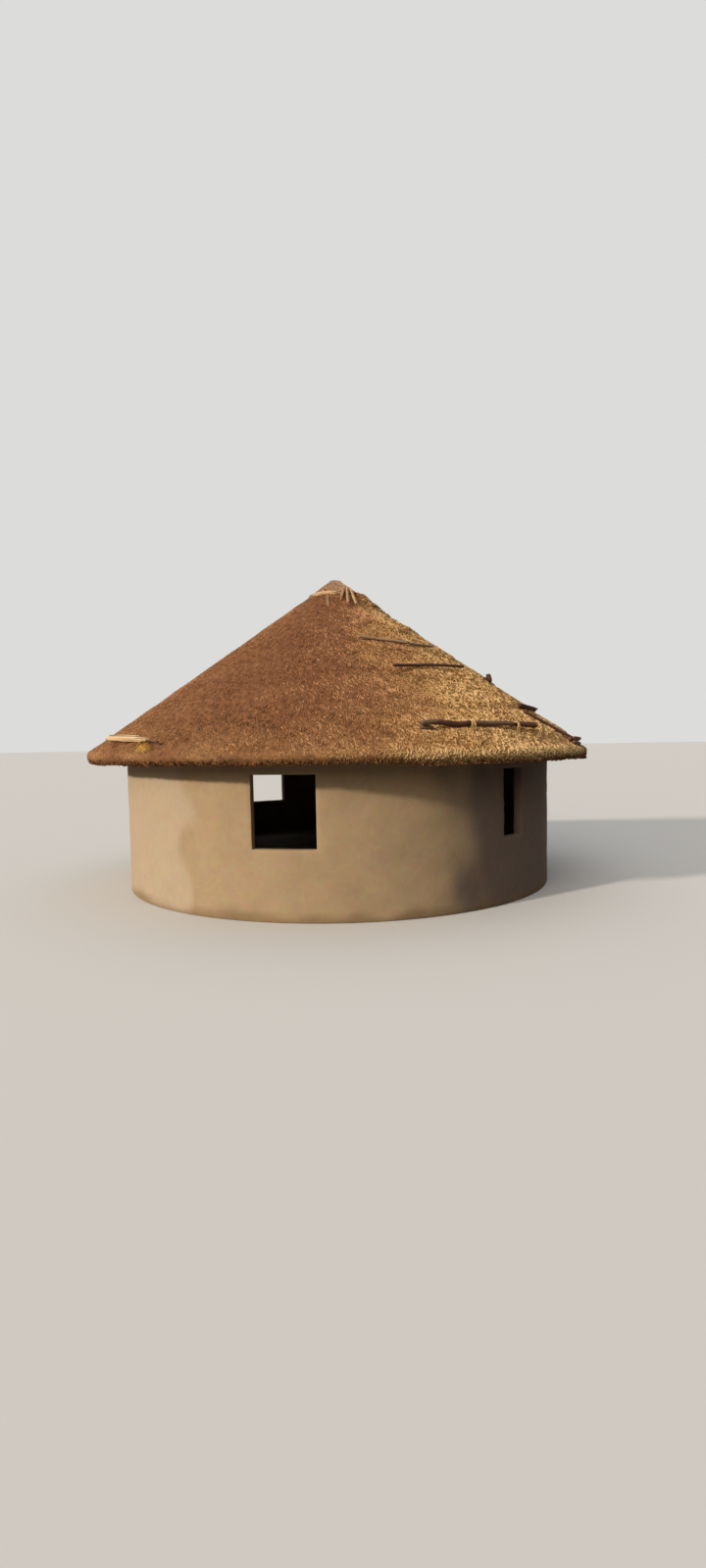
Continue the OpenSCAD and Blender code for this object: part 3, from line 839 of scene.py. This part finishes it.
class HUT_OT_thatch(bpy.types.Operator):
    """Lays the thatch: every lane's closed skin, with butts, proud straws and a ragged eave"""

    bl_idname = "hut.thatch"
    bl_label = "Thatch"

    def skin(self, heap, start):
        """The closed body of one lane under its straws."""
        columns = 29
        t = np.concatenate([np.linspace(0, SLOPE_RUN, 80), np.linspace(SLOPE_RUN, FULL_RUN, 18)[1:]])
        bearing = start + np.linspace(0, LANE_ANGLE, columns)
        top, out, _, _ = profile(*(each.ravel() for each in np.meshgrid(t, bearing, indexing="ij")))
        top, out = (each.reshape(len(t), columns, 2) for each in (top, out))
        # The underside runs from the lip back up to the top of the lane
        end = on_cone(LANE_TOP_R) - np.array([0, THATCH_T / math.cos(PITCH)])
        under = between(top[-1:], end, np.linspace(0, 1, 34)[1:, None, None])
        section = np.concatenate([top, under])
        outward = np.concatenate([out, np.broadcast_to(-UP, under.shape)])
        points = swept(section, bearing)
        flat = points.reshape(-1, 3)
        # It lies a little under the straws, less so on its underside and not at the top of the lane
        inner = np.ones(len(section))
        inner[[0, -1]] = 0
        inner[len(top):] *= 0.3
        lift = (lumps(flat) - 0.006 - 0.022 * freshness(flat)).reshape(len(section), -1) * inner[:, None]
        points = points + swept(outward * lift[..., None], bearing)
        # The skin's low tone shows the gap colour: painted shade under and between the straws
        tints = tinted(0.3 + 0.1 * waves(flat, 0.15, 23), freshness(flat))
        heap.add(points, grid_faces(len(section) + 1, columns) % len(flat), tints.reshape(points.shape))
        ring = np.arange(len(section)) * columns
        heap.close(ring[::-1])
        heap.close(ring + columns - 1)

    def scatter(self, draw, start, row, gap):
        """Distances down the thatch and bearings of straws, in jittered rows."""
        t, bearing = [], []
        for at in np.arange(0, FULL_RUN - 0.3 * LIP_ROUND, row):
            r = LANE_TOP_R + min(at, SLOPE_RUN) * DOWN[0]
            n = max(2, round(math.radians(LANE_ANGLE) * r / gap))
            t.append(at + draw.uniform(-0.5, 0.5, n) * row)
            bearing.append(start + (np.arange(n) + draw.uniform(0, 1, n)) * LANE_ANGLE / n)
        return np.clip(np.concatenate(t), 0, FULL_RUN), np.concatenate(bearing)

    def lay(self, heap, draw, t, bearing, proud):
        """Lays one set of straws. Proud ones are longer, higher, bent and paler."""
        s = sizes()
        n = len(t)
        butt, out, down, side, left = bed(t, bearing)
        age = freshness(butt)
        butt = butt - out * (0.004 + 0.014 * age)[:, None]
        curl = smooth(t, SLOPE_RUN - 0.1, ROUND_END)
        below_cap = smooth(t, 1.2, 2.4)
        yaw = np.radians(draw.normal(0, 17, n) + 9 * waves(butt, 0.45, 24)) * (0.9 + 2.8 * age + 0.7 * curl)
        along = down * np.cos(yaw)[:, None] + side * np.sin(yaw)[:, None]
        coarse = np.clip(0.45 + 0.55 * age + 0.15 * waves(butt, 1.6, 25), 0.3, 1.2)
        height = between(s.dressed_h, s.fresh_h, age) * draw.uniform(0.4, 1.5, n) * (1 - 0.75 * curl)
        uneven = draw.normal(0, 1, n) * (1 - 0.35 * curl)
        width = draw.uniform(0.018, 0.034, n)
        bend = None
        if proud:
            run = draw.uniform(0.1, 0.2, n) * (0.8 + 0.5 * coarse)
            width = width * (0.7 + 0.35 * coarse)
            # Where the thatch is half dressed, they are beaten nearly flat
            height = height * (1.4 - 2.4 * age * (1 - age))
            tone = 0.66 + 0.03 * age - 0.4 * age * (1 - age) * below_cap + (0.17 - 0.06 * age) * uneven
            if age.max() > 0.6:
                bend = draw.normal(0, 0.22, n)
        else:
            run = draw.uniform(0.07, 0.13, n)
            tone = 0.42 + (0.15 - 0.05 * age) * uneven
        run = run * (1 - 0.65 * curl) * (1 - 0.15 * age)
        tone = tone + 0.06 * waves(butt, 1.8, 26) + 0.06 * waves(butt, 0.25, 27)
        low = smooth(t, SLOPE_RUN - 1.3, SLOPE_RUN - 0.6)
        tone = tone + age * (0.12 * low + 0.17 * (1 - below_cap))
        # Painted shade at the foot of the cut face, darker and browner: all of it where it is dressed, and
        # the last of it where it is fresh. Painted light makes the round of the fresh eave above it paler
        dark = 1 - smooth(left / (0.13 - 0.085 * age), 0.25, 1)
        tone = tone - (0.18 + 0.3 * age) * dark + 0.5 * age * curl * (1 - dark)
        age = np.clip(age * (1 - 0.9 * dark) + draw.normal(0, 0.08, n), 0, 1)
        straws(heap, butt, along, out, np.stack([run, width, height], -1), tinted(tone, age), bend=bend)

    def fringe(self, heap, draw, start):
        """Loose straws along the lip, which hang a little past it."""
        n = 260
        t = draw.uniform(FACE_END - 0.03, FULL_RUN - 0.6 * LIP_ROUND, n)
        bearing = start + draw.uniform(0, LANE_ANGLE, n)
        # Their dark brown tone is painted shade along the lip
        ruffle(heap, draw, t, bearing, leans=((0.7, 1), (0, 0.2), (-0.7, 0.7)),
               size=((0.04, 0.07), (0.01, 0.02), (0.004, 0.008)), tone=0.25, age=0.2, spill=-0.04)

    def tousle(self, heap, draw, start):
        """Rough straws that stand up from the loose roll under the cap and from the slope below it."""
        for n, last_r, out, longest in ((260, 1.15, 1.1, 0.26), (220, 2.6, 0.5, 0.2)):
            t = down_to(draw.uniform(0.6, last_r, n))
            bearing = start + draw.uniform(0, LANE_ANGLE, n)
            ruffle(heap, draw, t, bearing, leans=((0.2, 1), (0, out), (-1, 1)),
                   size=((0.1, longest), (0.01, 0.02), (0.006, 0.014)),
                   tone=0.58, age=draw.uniform(0, 1, n), spill=0.02)

    def execute(self, context):
        s = sizes()
        material = laid_straw("veld_grass_laid")
        for i, node in enumerate(LANES):
            draw = np.random.default_rng([s.seed, i])
            start = FRESH_BEARING + i * LANE_ANGLE
            fresh = node in FRESH_LANES
            close = 0.8 if fresh else 1
            heap = Heap()
            self.skin(heap, start)
            self.lay(heap, draw, *self.scatter(draw, start, s.butt_row, s.butt_gap), False)
            self.lay(heap, draw, *self.scatter(draw, start, s.stroke_row * close, s.stroke_gap * close), True)
            self.fringe(heap, draw, start)
            if fresh and i > 0:
                self.tousle(heap, draw, start)
            slot = "fresh_thatch" if fresh else "dressed_thatch"
            heap.piece(node.replace("thatch", "straw"), material, slot, node, tint_map=True)
        return {"FINISHED"}


def solids_of(node):
    """Each pole of a node: its two ends, and its radius at each end."""
    spots, where = np.unique(corners(node).round(5), axis=0, return_inverse=True)
    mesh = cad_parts[node].data
    edges = np.empty(len(mesh.edges) * 2, np.int32)
    mesh.edges.foreach_get("vertices", edges)
    edges = where.ravel()[edges].reshape(-1, 2)
    # Corners that edges join take the least of their labels, until each solid has one label
    label = np.arange(len(spots))
    while True:
        low = np.minimum(label[edges[:, 0]], label[edges[:, 1]])
        joined = label.copy()
        np.minimum.at(joined, edges[:, 0], low)
        np.minimum.at(joined, edges[:, 1], low)
        if (joined == label).all():
            break
        label = joined
    found = []
    for each in np.unique(label):
        p = spots[label == each]
        centre = p.mean(0)
        axis = np.linalg.svd(p - centre, full_matrices=False)[2][0]
        along = (p - centre) @ axis
        off = np.linalg.norm(p - centre - along[:, None] * axis, axis=1)
        first, last = along.min(), along.max()
        found.append((centre + axis * first, centre + axis * last,
                      off[along < first + 0.02].max(), off[along > last - 0.02].max()))
    return sorted(found, key=lambda s: -(s[0][2] + s[1][2]))


# A log's rings have this many points and lie this far apart, and it has a knot for each such length
LOG_SIDES = 12
LOG_STEP = 0.05
KNOT_GAP = 0.45


def sway(draw, along, wavelength, count):
    """Smooth noise at distances along a line, as a column."""
    return waves(np.stack([along, 0 * along], -1), wavelength, int(draw.integers(1e6)), count)[:, None]


def log(heap, draw, start, end, r0, r1, peeled, bend=0.006):
    """A crooked pole with knots, between two points."""
    run = np.linalg.norm(end - start)
    n = max(5, round(run / LOG_STEP))
    share = np.linspace(0, 1, n)
    at = share * run
    path = between(start, end, share[:, None]) + sway(draw, at, 1.2, 3) * draw.normal(0, bend, 3)
    turn = np.arange(LOG_SIDES) * 2 * math.pi / LOG_SIDES
    spots = np.stack(np.broadcast_arrays(at[:, None] * 2, np.cos(turn), np.sin(turn)), -1)
    wobble = 0.06 * waves(spots.reshape(-1, 3), 1.5, int(draw.integers(1e6))).reshape(n, LOG_SIDES)
    for _ in range(int(run / KNOT_GAP)):
        knot, way = draw.uniform(0.05, 0.95), draw.uniform(0, 2 * math.pi)
        bulge = np.exp(-((share - knot) * run / 0.035) ** 2)[:, None]
        wobble = wobble + 0.28 * (bulge * np.clip(np.cos(turn - way), 0, 1) ** 3)
    worn = smooth(at, run - 0.02, run + 0.02) + 1 - smooth(at, -0.02, 0.02)
    radius = between(r0, r1, share) * (1 - 0.35 * worn)
    around = turn * (r0 + r1) / 2 + draw.uniform(0, 5)
    tints = np.stack(np.broadcast_arrays(at[:, None], around, peeled), -1)
    tube(heap, path, radius, tints, LOG_SIDES, wobble)


def bundle(heap, draw, start, end, r0, r1, count, tone, spread, thick):
    """Straws side by side between two points, fanned from radius r0 to r1. Their tones spread round
    one tone."""
    ahead, side, top = axes(start, end)
    run = np.linalg.norm(end - start)
    for _ in range(count):
        way, off = draw.uniform(0, 2 * math.pi), math.sqrt(draw.uniform(0.1, 1))
        aside = side * math.cos(way) + top * math.sin(way)
        share = np.linspace(draw.uniform(0, 0.06), 1 - draw.uniform(0, 0.3), 5)
        path = start + ahead * run * share[:, None]
        path += aside * (off * between(r0, r1, share) - thick)[:, None]
        path += sway(draw, share, 0.8, 2) * 0.006 * aside
        tube(heap, path, np.array([0.8, 1, 1, 1, 0.5]) * thick * draw.uniform(0.7, 1.5),
             tinted(tone + draw.normal(0, spread), 0.9), 4)


def in_front(bearing):
    """1 on the side of the front window, where the rope and its grass are paler, and 0 behind."""
    return np.exp(-(((bearing + 190) % 360 - 180) / 45) ** 2)


# The cap's section, in metres: the flat top's radius, the radius where the steep top meets the slope
# of the roof, and how thick the grass is there and at the skirt
CAP_TOP_R = 0.145
CAP_KNEE_R = 0.336
CAP_KNEE_T = 0.03
CAP_SKIRT_T = 0.014


class HUT_OT_crown(bpy.types.Operator):
    """Ties the crown cap: its bundle, its rope and the tails over the fresh side"""

    bl_idname = "hut.crown"
    bl_label = "Crown cap"

    def cap(self, draw):
        """The cap's closed body, straws combed down its sides and cut ends on its flat top."""
        heap = Heap()
        low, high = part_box("crown_cap")
        rim_z, crest_z = high.z - 0.02, high.z - 0.012
        top = np.array([CAP_TOP_R, rim_z])
        knee = on_cone(CAP_KNEE_R) + CAP_KNEE_T * UP
        hem = on_cone(CAP_SKIRT_R - CAP_SKIRT_T * UP[0])
        skirt = hem + CAP_SKIRT_T * UP
        section = np.array([
            [0.0, rim_z], [CAP_TOP_R * 0.6, crest_z], top, knee, skirt,
            hem + 0.0003 * UP, [LANE_TOP_R - 0.01, low.z + 0.05], [0.0, low.z]])
        section = np.concatenate(
            [np.linspace(a, b, 6)[:-1] for a, b in zip(section, section[1:])] + [section[-1:]])
        bearing = np.arange(0, 360, 7.5)
        flat = swept(section[:, None], bearing).reshape(-1, 3)
        heap.add(flat, grid_faces(len(section), len(bearing), closed=True),
                 tinted(0.42 + 0.08 * waves(flat, 0.12, 41), 0.5))

        # Straws down the sides, of which the steep top has a share
        n, steep_share = 2600, 0.45
        share = np.sqrt(draw.uniform(0, 1, n))[:, None]
        at = draw.uniform(0, 360, n)
        steep = share < steep_share
        spot = np.where(steep, between(top, knee, share / steep_share),
                        between(knee, skirt, (share - steep_share) / (1 - steep_share)))
        lean = np.where(steep, unit(knee - top), DOWN)
        out = np.stack([-lean[:, 1], lean[:, 0]], -1)
        spot, lean, out = (swept(each, at) for each in (spot, lean, out))
        along = unit(lean + np.cross(lean, out) * draw.normal(0, 0.14, n)[:, None])
        size = drawn(draw, n, (0.08, 0.2), (0.008, 0.02), (0.003, 0.012))
        tone = 0.55 + draw.normal(0, 0.17, n)
        straws(heap, spot, along, out, size, tinted(tone, draw.uniform(0.35, 0.7, n)), 0.006)

        # Cut ends on the flat top
        n = 420
        r, at = CAP_TOP_R * np.sqrt(draw.uniform(0, 1, n)), draw.uniform(0, 360, n)
        spot = placed(r, crest_z, at)
        up = unit(np.array([0, 0, 1]) + draw.normal(0, 0.12, (n, 3)))
        size = np.stack(np.broadcast_arrays(draw.uniform(0.02, 0.05, n), 0.012, 0.006), -1)
        tone = 0.5 + draw.normal(0, 0.2, n)
        straws(heap, spot + up * draw.uniform(0, 0.02, n)[:, None], up, placed(1.0, 0.0, at), size,
               tinted(tone, 0.6), 0.004)
        heap.piece("combed_cap", laid_straw("cap_grass_combed", colours().cap), "cap_grass",
                   "crown_cap", tint_map=True)

    def rope(self, draw):
        """Strands of grass laid round the skirt's edge, loose grass wound round with them, and two
        loose ends that hang from the knot."""
        heap = Heap()
        low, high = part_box("cap_rope")
        thick = high.z - low.z
        around = np.linspace(0, 360, 241)[:-1]
        strand = thick / 2.8
        for k in range(3):
            turn = np.radians(around * 36 + 120 * k)
            path = placed(high.x - thick / 2 + strand * 1.05 * np.cos(turn),
                          (low.z + high.z) / 2 + strand * 1.05 * np.sin(turn), around)
            path = np.concatenate([path, path[:1]])
            tone = 0.24 + 0.48 * in_front(np.append(around, 0)) + 0.12 * waves(path, 0.1, 50 + k)
            tube(heap, path, strand * (1 + 0.15 * waves(path, 0.05, 60 + k)), tinted(tone, 0.85), 6)
        n = 700
        t = down_to(CAP_SKIRT_R + draw.uniform(-0.03, 0.05, n))
        bearing = draw.uniform(0, 360, n)
        ruffle(heap, draw, t, bearing, leans=((-0.1, 0.2), (0, 0.12), (0.8, 1)),
               size=((0.12, 0.24), (0.01, 0.018), (0.02, 0.035)),
               tone=0.3 + 0.3 * in_front(bearing), age=0.9)
        for first, last in ((-3.6, 3.0), (-1.2, 4.6)):
            share = np.linspace(0, 1, 8)
            spot, out, _, _, _ = bed(down_to(0.75 + 0.44 * share), between(first, last, share))
            tube(heap, spot + out * 0.02, 0.007, tinted(0.45, 0.9), 5)
        heap.piece("laid_rope", laid_straw("grass_rope_twisted", colours().rope), "grass_rope",
                   "cap_rope", tint_map=True)

    def tails(self, draw):
        """Bundles tied at the head and loose at the foot."""
        heap = Heap()
        for start, end, r0, r1 in solids_of("cap_tails"):
            bundle(heap, draw, start, end, r0 * 0.9, r1, 44, tone=0.62, spread=0.22, thick=0.008)
        heap.piece("grass_tails", laid_straw("grass_tail_loose", colours().tail), "pale_straw",
                   "cap_tails", tint_map=True)

    def execute(self, context):
        draw = np.random.default_rng([sizes().seed, 100])
        self.cap(draw)
        self.rope(draw)
        self.tails(draw)
        return {"FINISHED"}


# A foothold pole thicker than this is a bundle of sticks, one longer than this is the longest, and
# one whose middle is nearer the axis than this is freshly peeled
STICKS_R = 0.055
LONGEST_L = 2.2
PEELED_R = 3

# The longest foothold pole is four shorter logs: from and to, as shares of its length, how much
# thicker than in the frame, and how far peeled. It is tied with straw at shares of its length too
LONGEST_LOGS = ((0, 0.15, 1, 0.25), (0.07, 0.405, 1.1, 0), (0.42, 0.79, 1.05, 0.2), (0.805, 1, 1.2, 0))
TIES = (0.41, 0.8, 1.0)

# Short logs: the radius and bearing of each end, the log's radius, its height over the thatch and how
# far it is peeled. The first lies under the left end of the longest, and the rest lie in a heap
SHORT_LOGS = (
    ((5.325, 27.5), (5.355, 29.9), 0.042, 0.03, 0.3),
    ((5.66, 69.4), (5.68, 74.2), 0.045, 0.05, 0.05),
    ((5.74, 69.2), (5.77, 73.8), 0.045, 0.04, 0.1),
    ((5.7, 69.8), (5.72, 74.8), 0.04, 0.12, 0),
)

# Where the stub stands at the roof's right edge
STUB_R = 3.84
STUB_BEARING = 73.2


class HUT_OT_laid_poles(bpy.types.Operator):
    """Lays the foothold poles, the tied sticks and the light pole near the left eave"""

    bl_idname = "hut.laid_poles"
    bl_label = "Laid poles"

    def footholds(self, draw, wood):
        """Logs and tied sticks on the fresh side. Gives the two ends of the longest."""
        heap = Heap()
        for start, end, r0, r1 in solids_of("foothold_poles"):
            near_cap = math.hypot(*((start + end) / 2)[:2]) < PEELED_R
            if r0 > STICKS_R:
                self.sticks(heap, draw, start, end, r0)
            elif np.linalg.norm(end - start) > LONGEST_L:
                longest = sorted((start, end), key=bearing_of)
                for first, last, wide, peeled in LONGEST_LOGS:
                    log(heap, draw, between(*longest, first), between(*longest, last),
                        r0 * wide, r1 * wide, peeled, bend=0.008)
            else:
                log(heap, draw, start, end, r0, r1, peeled=0.85 if near_cap else 0)
        for *ends, thick, high, peeled in SHORT_LOGS:
            r, bearing = np.transpose(ends)
            spot, out, _, _, _ = bed(down_to(r), bearing)
            log(heap, draw, *(spot + out * high), thick, thick * 0.85, peeled)
        foot = bed(down_to(np.array([STUB_R])), np.array([STUB_BEARING]))[0][0]
        log(heap, draw, foot, foot + np.array([-0.02, 0, 0.18]), 0.065, 0.055, peeled=0)
        heap.piece("foothold_logs", wood, "weathered_pole", "foothold_poles", smooth_faces=True)
        return longest

    def sticks(self, heap, draw, start, end, radius):
        """A bundle of crooked sticks."""
        ahead, side, top = axes(start, end)
        for k in range(9):
            way = k * 2.4
            off = radius * 0.72 * math.sqrt((k + 0.5) / 9)
            shift = side * math.cos(way) * off + top * math.sin(way) * off
            slide = ahead * draw.uniform(-0.05, 0.05)
            log(heap, draw, start + shift + slide, end + shift + slide, radius * 0.27, radius * 0.22, 0.05)

    def wisps(self, draw, start, end):
        """Fresh straw drawn over the joins of the longest pole to hold it, and the dark clump at the
        eave's far end, which is painted shade."""
        heap = Heap()
        # A tie's five points: how far down the slope each lies, and its share of the tie's height
        ahead = np.array([-0.16, -0.08, 0, 0.07, 0.12])
        rise = np.array([0, 0.75, 1, 0.7, 0])
        for share in TIES:
            middle = between(start, end, share)
            t = down_to(np.array([math.hypot(*middle[:2])]))
            spot, out, down, side, _ = (each[0] for each in bed(t, np.array([bearing_of(middle)])))
            top = (middle - spot) @ out + 0.075
            for _ in range(10):
                way = down + side * draw.normal(0, 0.3)
                path = spot + side * draw.normal(0, 0.018) + way * (ahead * draw.uniform(0.7, 1.1))[:, None]
                path += out * (rise * top * draw.uniform(0.9, 1.1))[:, None]
                tube(heap, path, np.array([0.6, 1, 1, 1, 0.6]) * draw.uniform(0.006, 0.01),
                     tinted(0.75 + draw.normal(0, 0.2), 0.95), 4)
        # The dark clump stands for the shade at the eave's far end: painted shade in dark straws
        n = 260
        t = draw.uniform(SLOPE_RUN - 0.04, FACE_END, n)
        ruffle(heap, draw, t, 87 + draw.normal(0, 5, n), leans=((0.4, 1), (0, 0.3), (-0.8, 0.8)),
               size=((0.08, 0.14), (0.02, 0.04), (0.008, 0.014)), tone=0.22, age=0.2)
        heap.piece("loose_wisps", laid_straw("veld_grass_loose"), "pale_straw", tint_map=True)

    def tuft(self, draw):
        """The bright tuft that fans out near the left eave."""
        heap = Heap()
        n = 90
        fan = draw.uniform(0, 1, n)
        bearing = -31.8 + 5 * fan + draw.normal(0, 0.8, n) * (0.5 + fan)
        ruffle(heap, draw, down_to(5.42 + 0.38 * fan), bearing, leans=((0.8, 1), (0.1, 0.4), (-0.1, 0.3)),
               size=((0.2, 0.34), (0.012, 0.022), (0.01, 0.02)), tone=0.8, age=1.0)
        heap.piece("yellow_tuft", laid_straw("straw_cut_young", colours().tuft), "pale_straw", tint_map=True)

    def eave(self, draw, wood):
        """The light pole, without its left end, and the straw that lies over and beside it."""
        heap, straw = Heap(), Heap()
        for start, end, r0, r1 in solids_of("eave_pole"):
            left, right = sorted((start, end), key=bearing_of)
            log(heap, draw, between(left, right, 0.12), right, r0 * 0.8, r1 * 0.8, peeled=0.12)
            lift = 0.03 * swept(UP, bearing_of(left + right))
            bundle(straw, draw, between(left, right, 0.15) + lift, between(left, right, 0.87) + lift,
                   0.04, 0.055, 110, tone=0.62, spread=0.16, thick=0.008)
        heap.piece("eave_log", wood, "peeled_pole", "eave_pole", smooth_faces=True)
        for start, end, r0, r1 in solids_of("eave_straw"):
            bundle(straw, draw, start, end, r0, r1, 90, tone=0.34, spread=0.12, thick=0.007)
        straw.piece("eave_straw_roll", laid_straw("fresh_straw_rolled", colours().rope), "pale_straw",
                    "eave_straw", tint_map=True)

    def execute(self, context):
        c = colours()
        draw = np.random.default_rng([sizes().seed, 200])
        wood = tinted_pole("pole_weathered", c.weathered, c.peeled)
        longest = self.footholds(draw, wood)
        self.wisps(draw, *longest)
        self.tuft(draw)
        self.eave(draw, wood)
        return {"FINISHED"}


class HUT_OT_stage(bpy.types.Operator):
    """Sets the plain floor, the soft studio light and the camera at the photograph's angle"""

    bl_idname = "hut.stage"
    bl_label = "Stage"

    def execute(self, context):
        scene = context.scene
        scene.view_settings.view_transform = "Standard"
        self.floor(scene)
        self.world(scene)
        # A low key from the left, and a weak and wide fill from between it and the camera
        self.lamp(scene, "soft_key", side=-57, height=21, energy=2.55, angle=4)
        self.lamp(scene, "soft_fill", side=-30, height=24, energy=0.85, angle=35)
        self.camera(scene)
        return {"FINISHED"}

    def floor(self, scene):
        """A floor that looks pale, and returns less light than it seems to, as trodden ground does."""
        mesh = bpy.data.meshes.new("studio_floor")
        wide, z = 400.0, -0.002
        corner = [(-wide, -wide, z), (wide, -wide, z), (wide, wide, z), (-wide, wide, z)]
        mesh.from_pydata(corner, [], [(0, 1, 2, 3)])
        made = bpy.data.objects.new("studio_floor", mesh)
        scene.collection.objects.link(made)
        material, tree = new_material("studio_floor_matt")
        seen = (*colours().floor, 1)
        lit = (*shaded(colours().floor, -0.86), 1)
        pick = add(tree, "Mix", {"Factor": seen_rays(tree), "A": lit, "B": seen}, data_type="RGBA")
        surface(tree, Base_Color=pick.outputs["Result"], Roughness=0.95)
        mesh.materials.append(material)

    def world(self, scene):
        """Even light from overhead that falls off towards the horizon, and a pale backdrop."""
        world = bpy.data.worlds.new("studio_world")
        world.use_nodes = True
        tree = world.node_tree
        tree.nodes.clear()
        way = add(tree, "TexCoord")
        parts = add(tree, "SeparateXYZ", {0: way.outputs["Generated"]})
        fall = add(tree, "ValToRGB", {"Fac": parts.outputs["Z"]}, stops=[
            (0.1, linear("#1c1c1d")), (1.0, linear("#f4f6fa")), (0.4, linear("#5a5a5c"))])
        backdrop = (*linear("#dcdcdb"), 1)
        pick = add(tree, "Mix", {"Factor": seen_rays(tree), "A": fall.outputs[0], "B": backdrop},
                   data_type="RGBA")
        light = add(tree, "Background", {"Color": pick.outputs["Result"], "Strength": 1.0})
        add(tree, "OutputWorld", {"Surface": light.outputs[0]})
        scene.world = world

    def lamp(self, scene, name, side, height, energy, angle):
        """A distant soft lamp, at degrees to the side of the camera and degrees high."""
        lamp = bpy.data.lights.new(name, "SUN")
        lamp.energy = energy
        lamp.angle = math.radians(angle)
        lamp.color = linear("#fff5e8")
        made = bpy.data.objects.new(name, lamp)
        height = math.radians(height)
        back = Vector(placed(math.cos(height), math.sin(height), VIEW_BEARING + side))
        made.rotation_mode = "QUATERNION"
        made.rotation_quaternion = back.to_track_quat("Z", "Y")
        scene.collection.objects.link(made)

    def camera(self, scene):
        """The photograph's view: a phone's wide lens, held a little down and a little rolled."""
        data = bpy.data.cameras.new("view")
        data.lens = VIEW_LENS
        data.sensor_width = 36
        data.clip_end = 2000
        made = bpy.data.objects.new("view", data)
        made.matrix_world = (
            Matrix.Translation(placed(VIEW_DISTANCE, VIEW_HEIGHT, VIEW_BEARING))
            @ Matrix.Rotation(math.radians(VIEW_BEARING + VIEW_TURN), 4, "Z")
            @ Matrix.Rotation(math.radians(90 - VIEW_DIP), 4, "X")
            @ Matrix.Rotation(math.radians(VIEW_ROLL), 4, "Z"))
        scene.collection.objects.link(made)
        scene.camera = made


class HUT_PT_panel(bpy.types.Panel):
    """Lists the hut's pieces, sizes and colours"""

    bl_idname = "HUT_PT_panel"
    bl_label = "Rondavel hut"
    bl_space_type = "VIEW_3D"
    bl_region_type = "UI"
    bl_category = "Hut"

    def draw(self, context):
        layout = self.layout
        for operator in OPERATORS:
            layout.operator(operator.bl_idname)
        for group in (context.scene.hut_sizes, context.scene.hut_colours):
            for name in group.__annotations__:
                layout.prop(group, name)


OPERATORS = (
    HUT_OT_stage, HUT_OT_plaster_wall, HUT_OT_floor, HUT_OT_roof_poles,
    HUT_OT_thatch, HUT_OT_crown, HUT_OT_laid_poles,
)
CLASSES = (HutSizes, HutColours, *OPERATORS, HUT_PT_panel)


def register():
    for each in CLASSES:
        bpy.utils.register_class(each)
    bpy.types.Scene.hut_sizes = PointerProperty(type=HutSizes)
    bpy.types.Scene.hut_colours = PointerProperty(type=HutColours)


def unregister():
    del bpy.types.Scene.hut_colours
    del bpy.types.Scene.hut_sizes
    for each in reversed(CLASSES):
        bpy.utils.unregister_class(each)


def main():
    register()
    bpy.ops.hut.stage()
    bpy.ops.hut.plaster_wall()
    bpy.ops.hut.floor()
    bpy.ops.hut.roof_poles()
    bpy.ops.hut.thatch()
    bpy.ops.hut.crown()
    bpy.ops.hut.laid_poles()


if __name__ == "__main__":
    main()
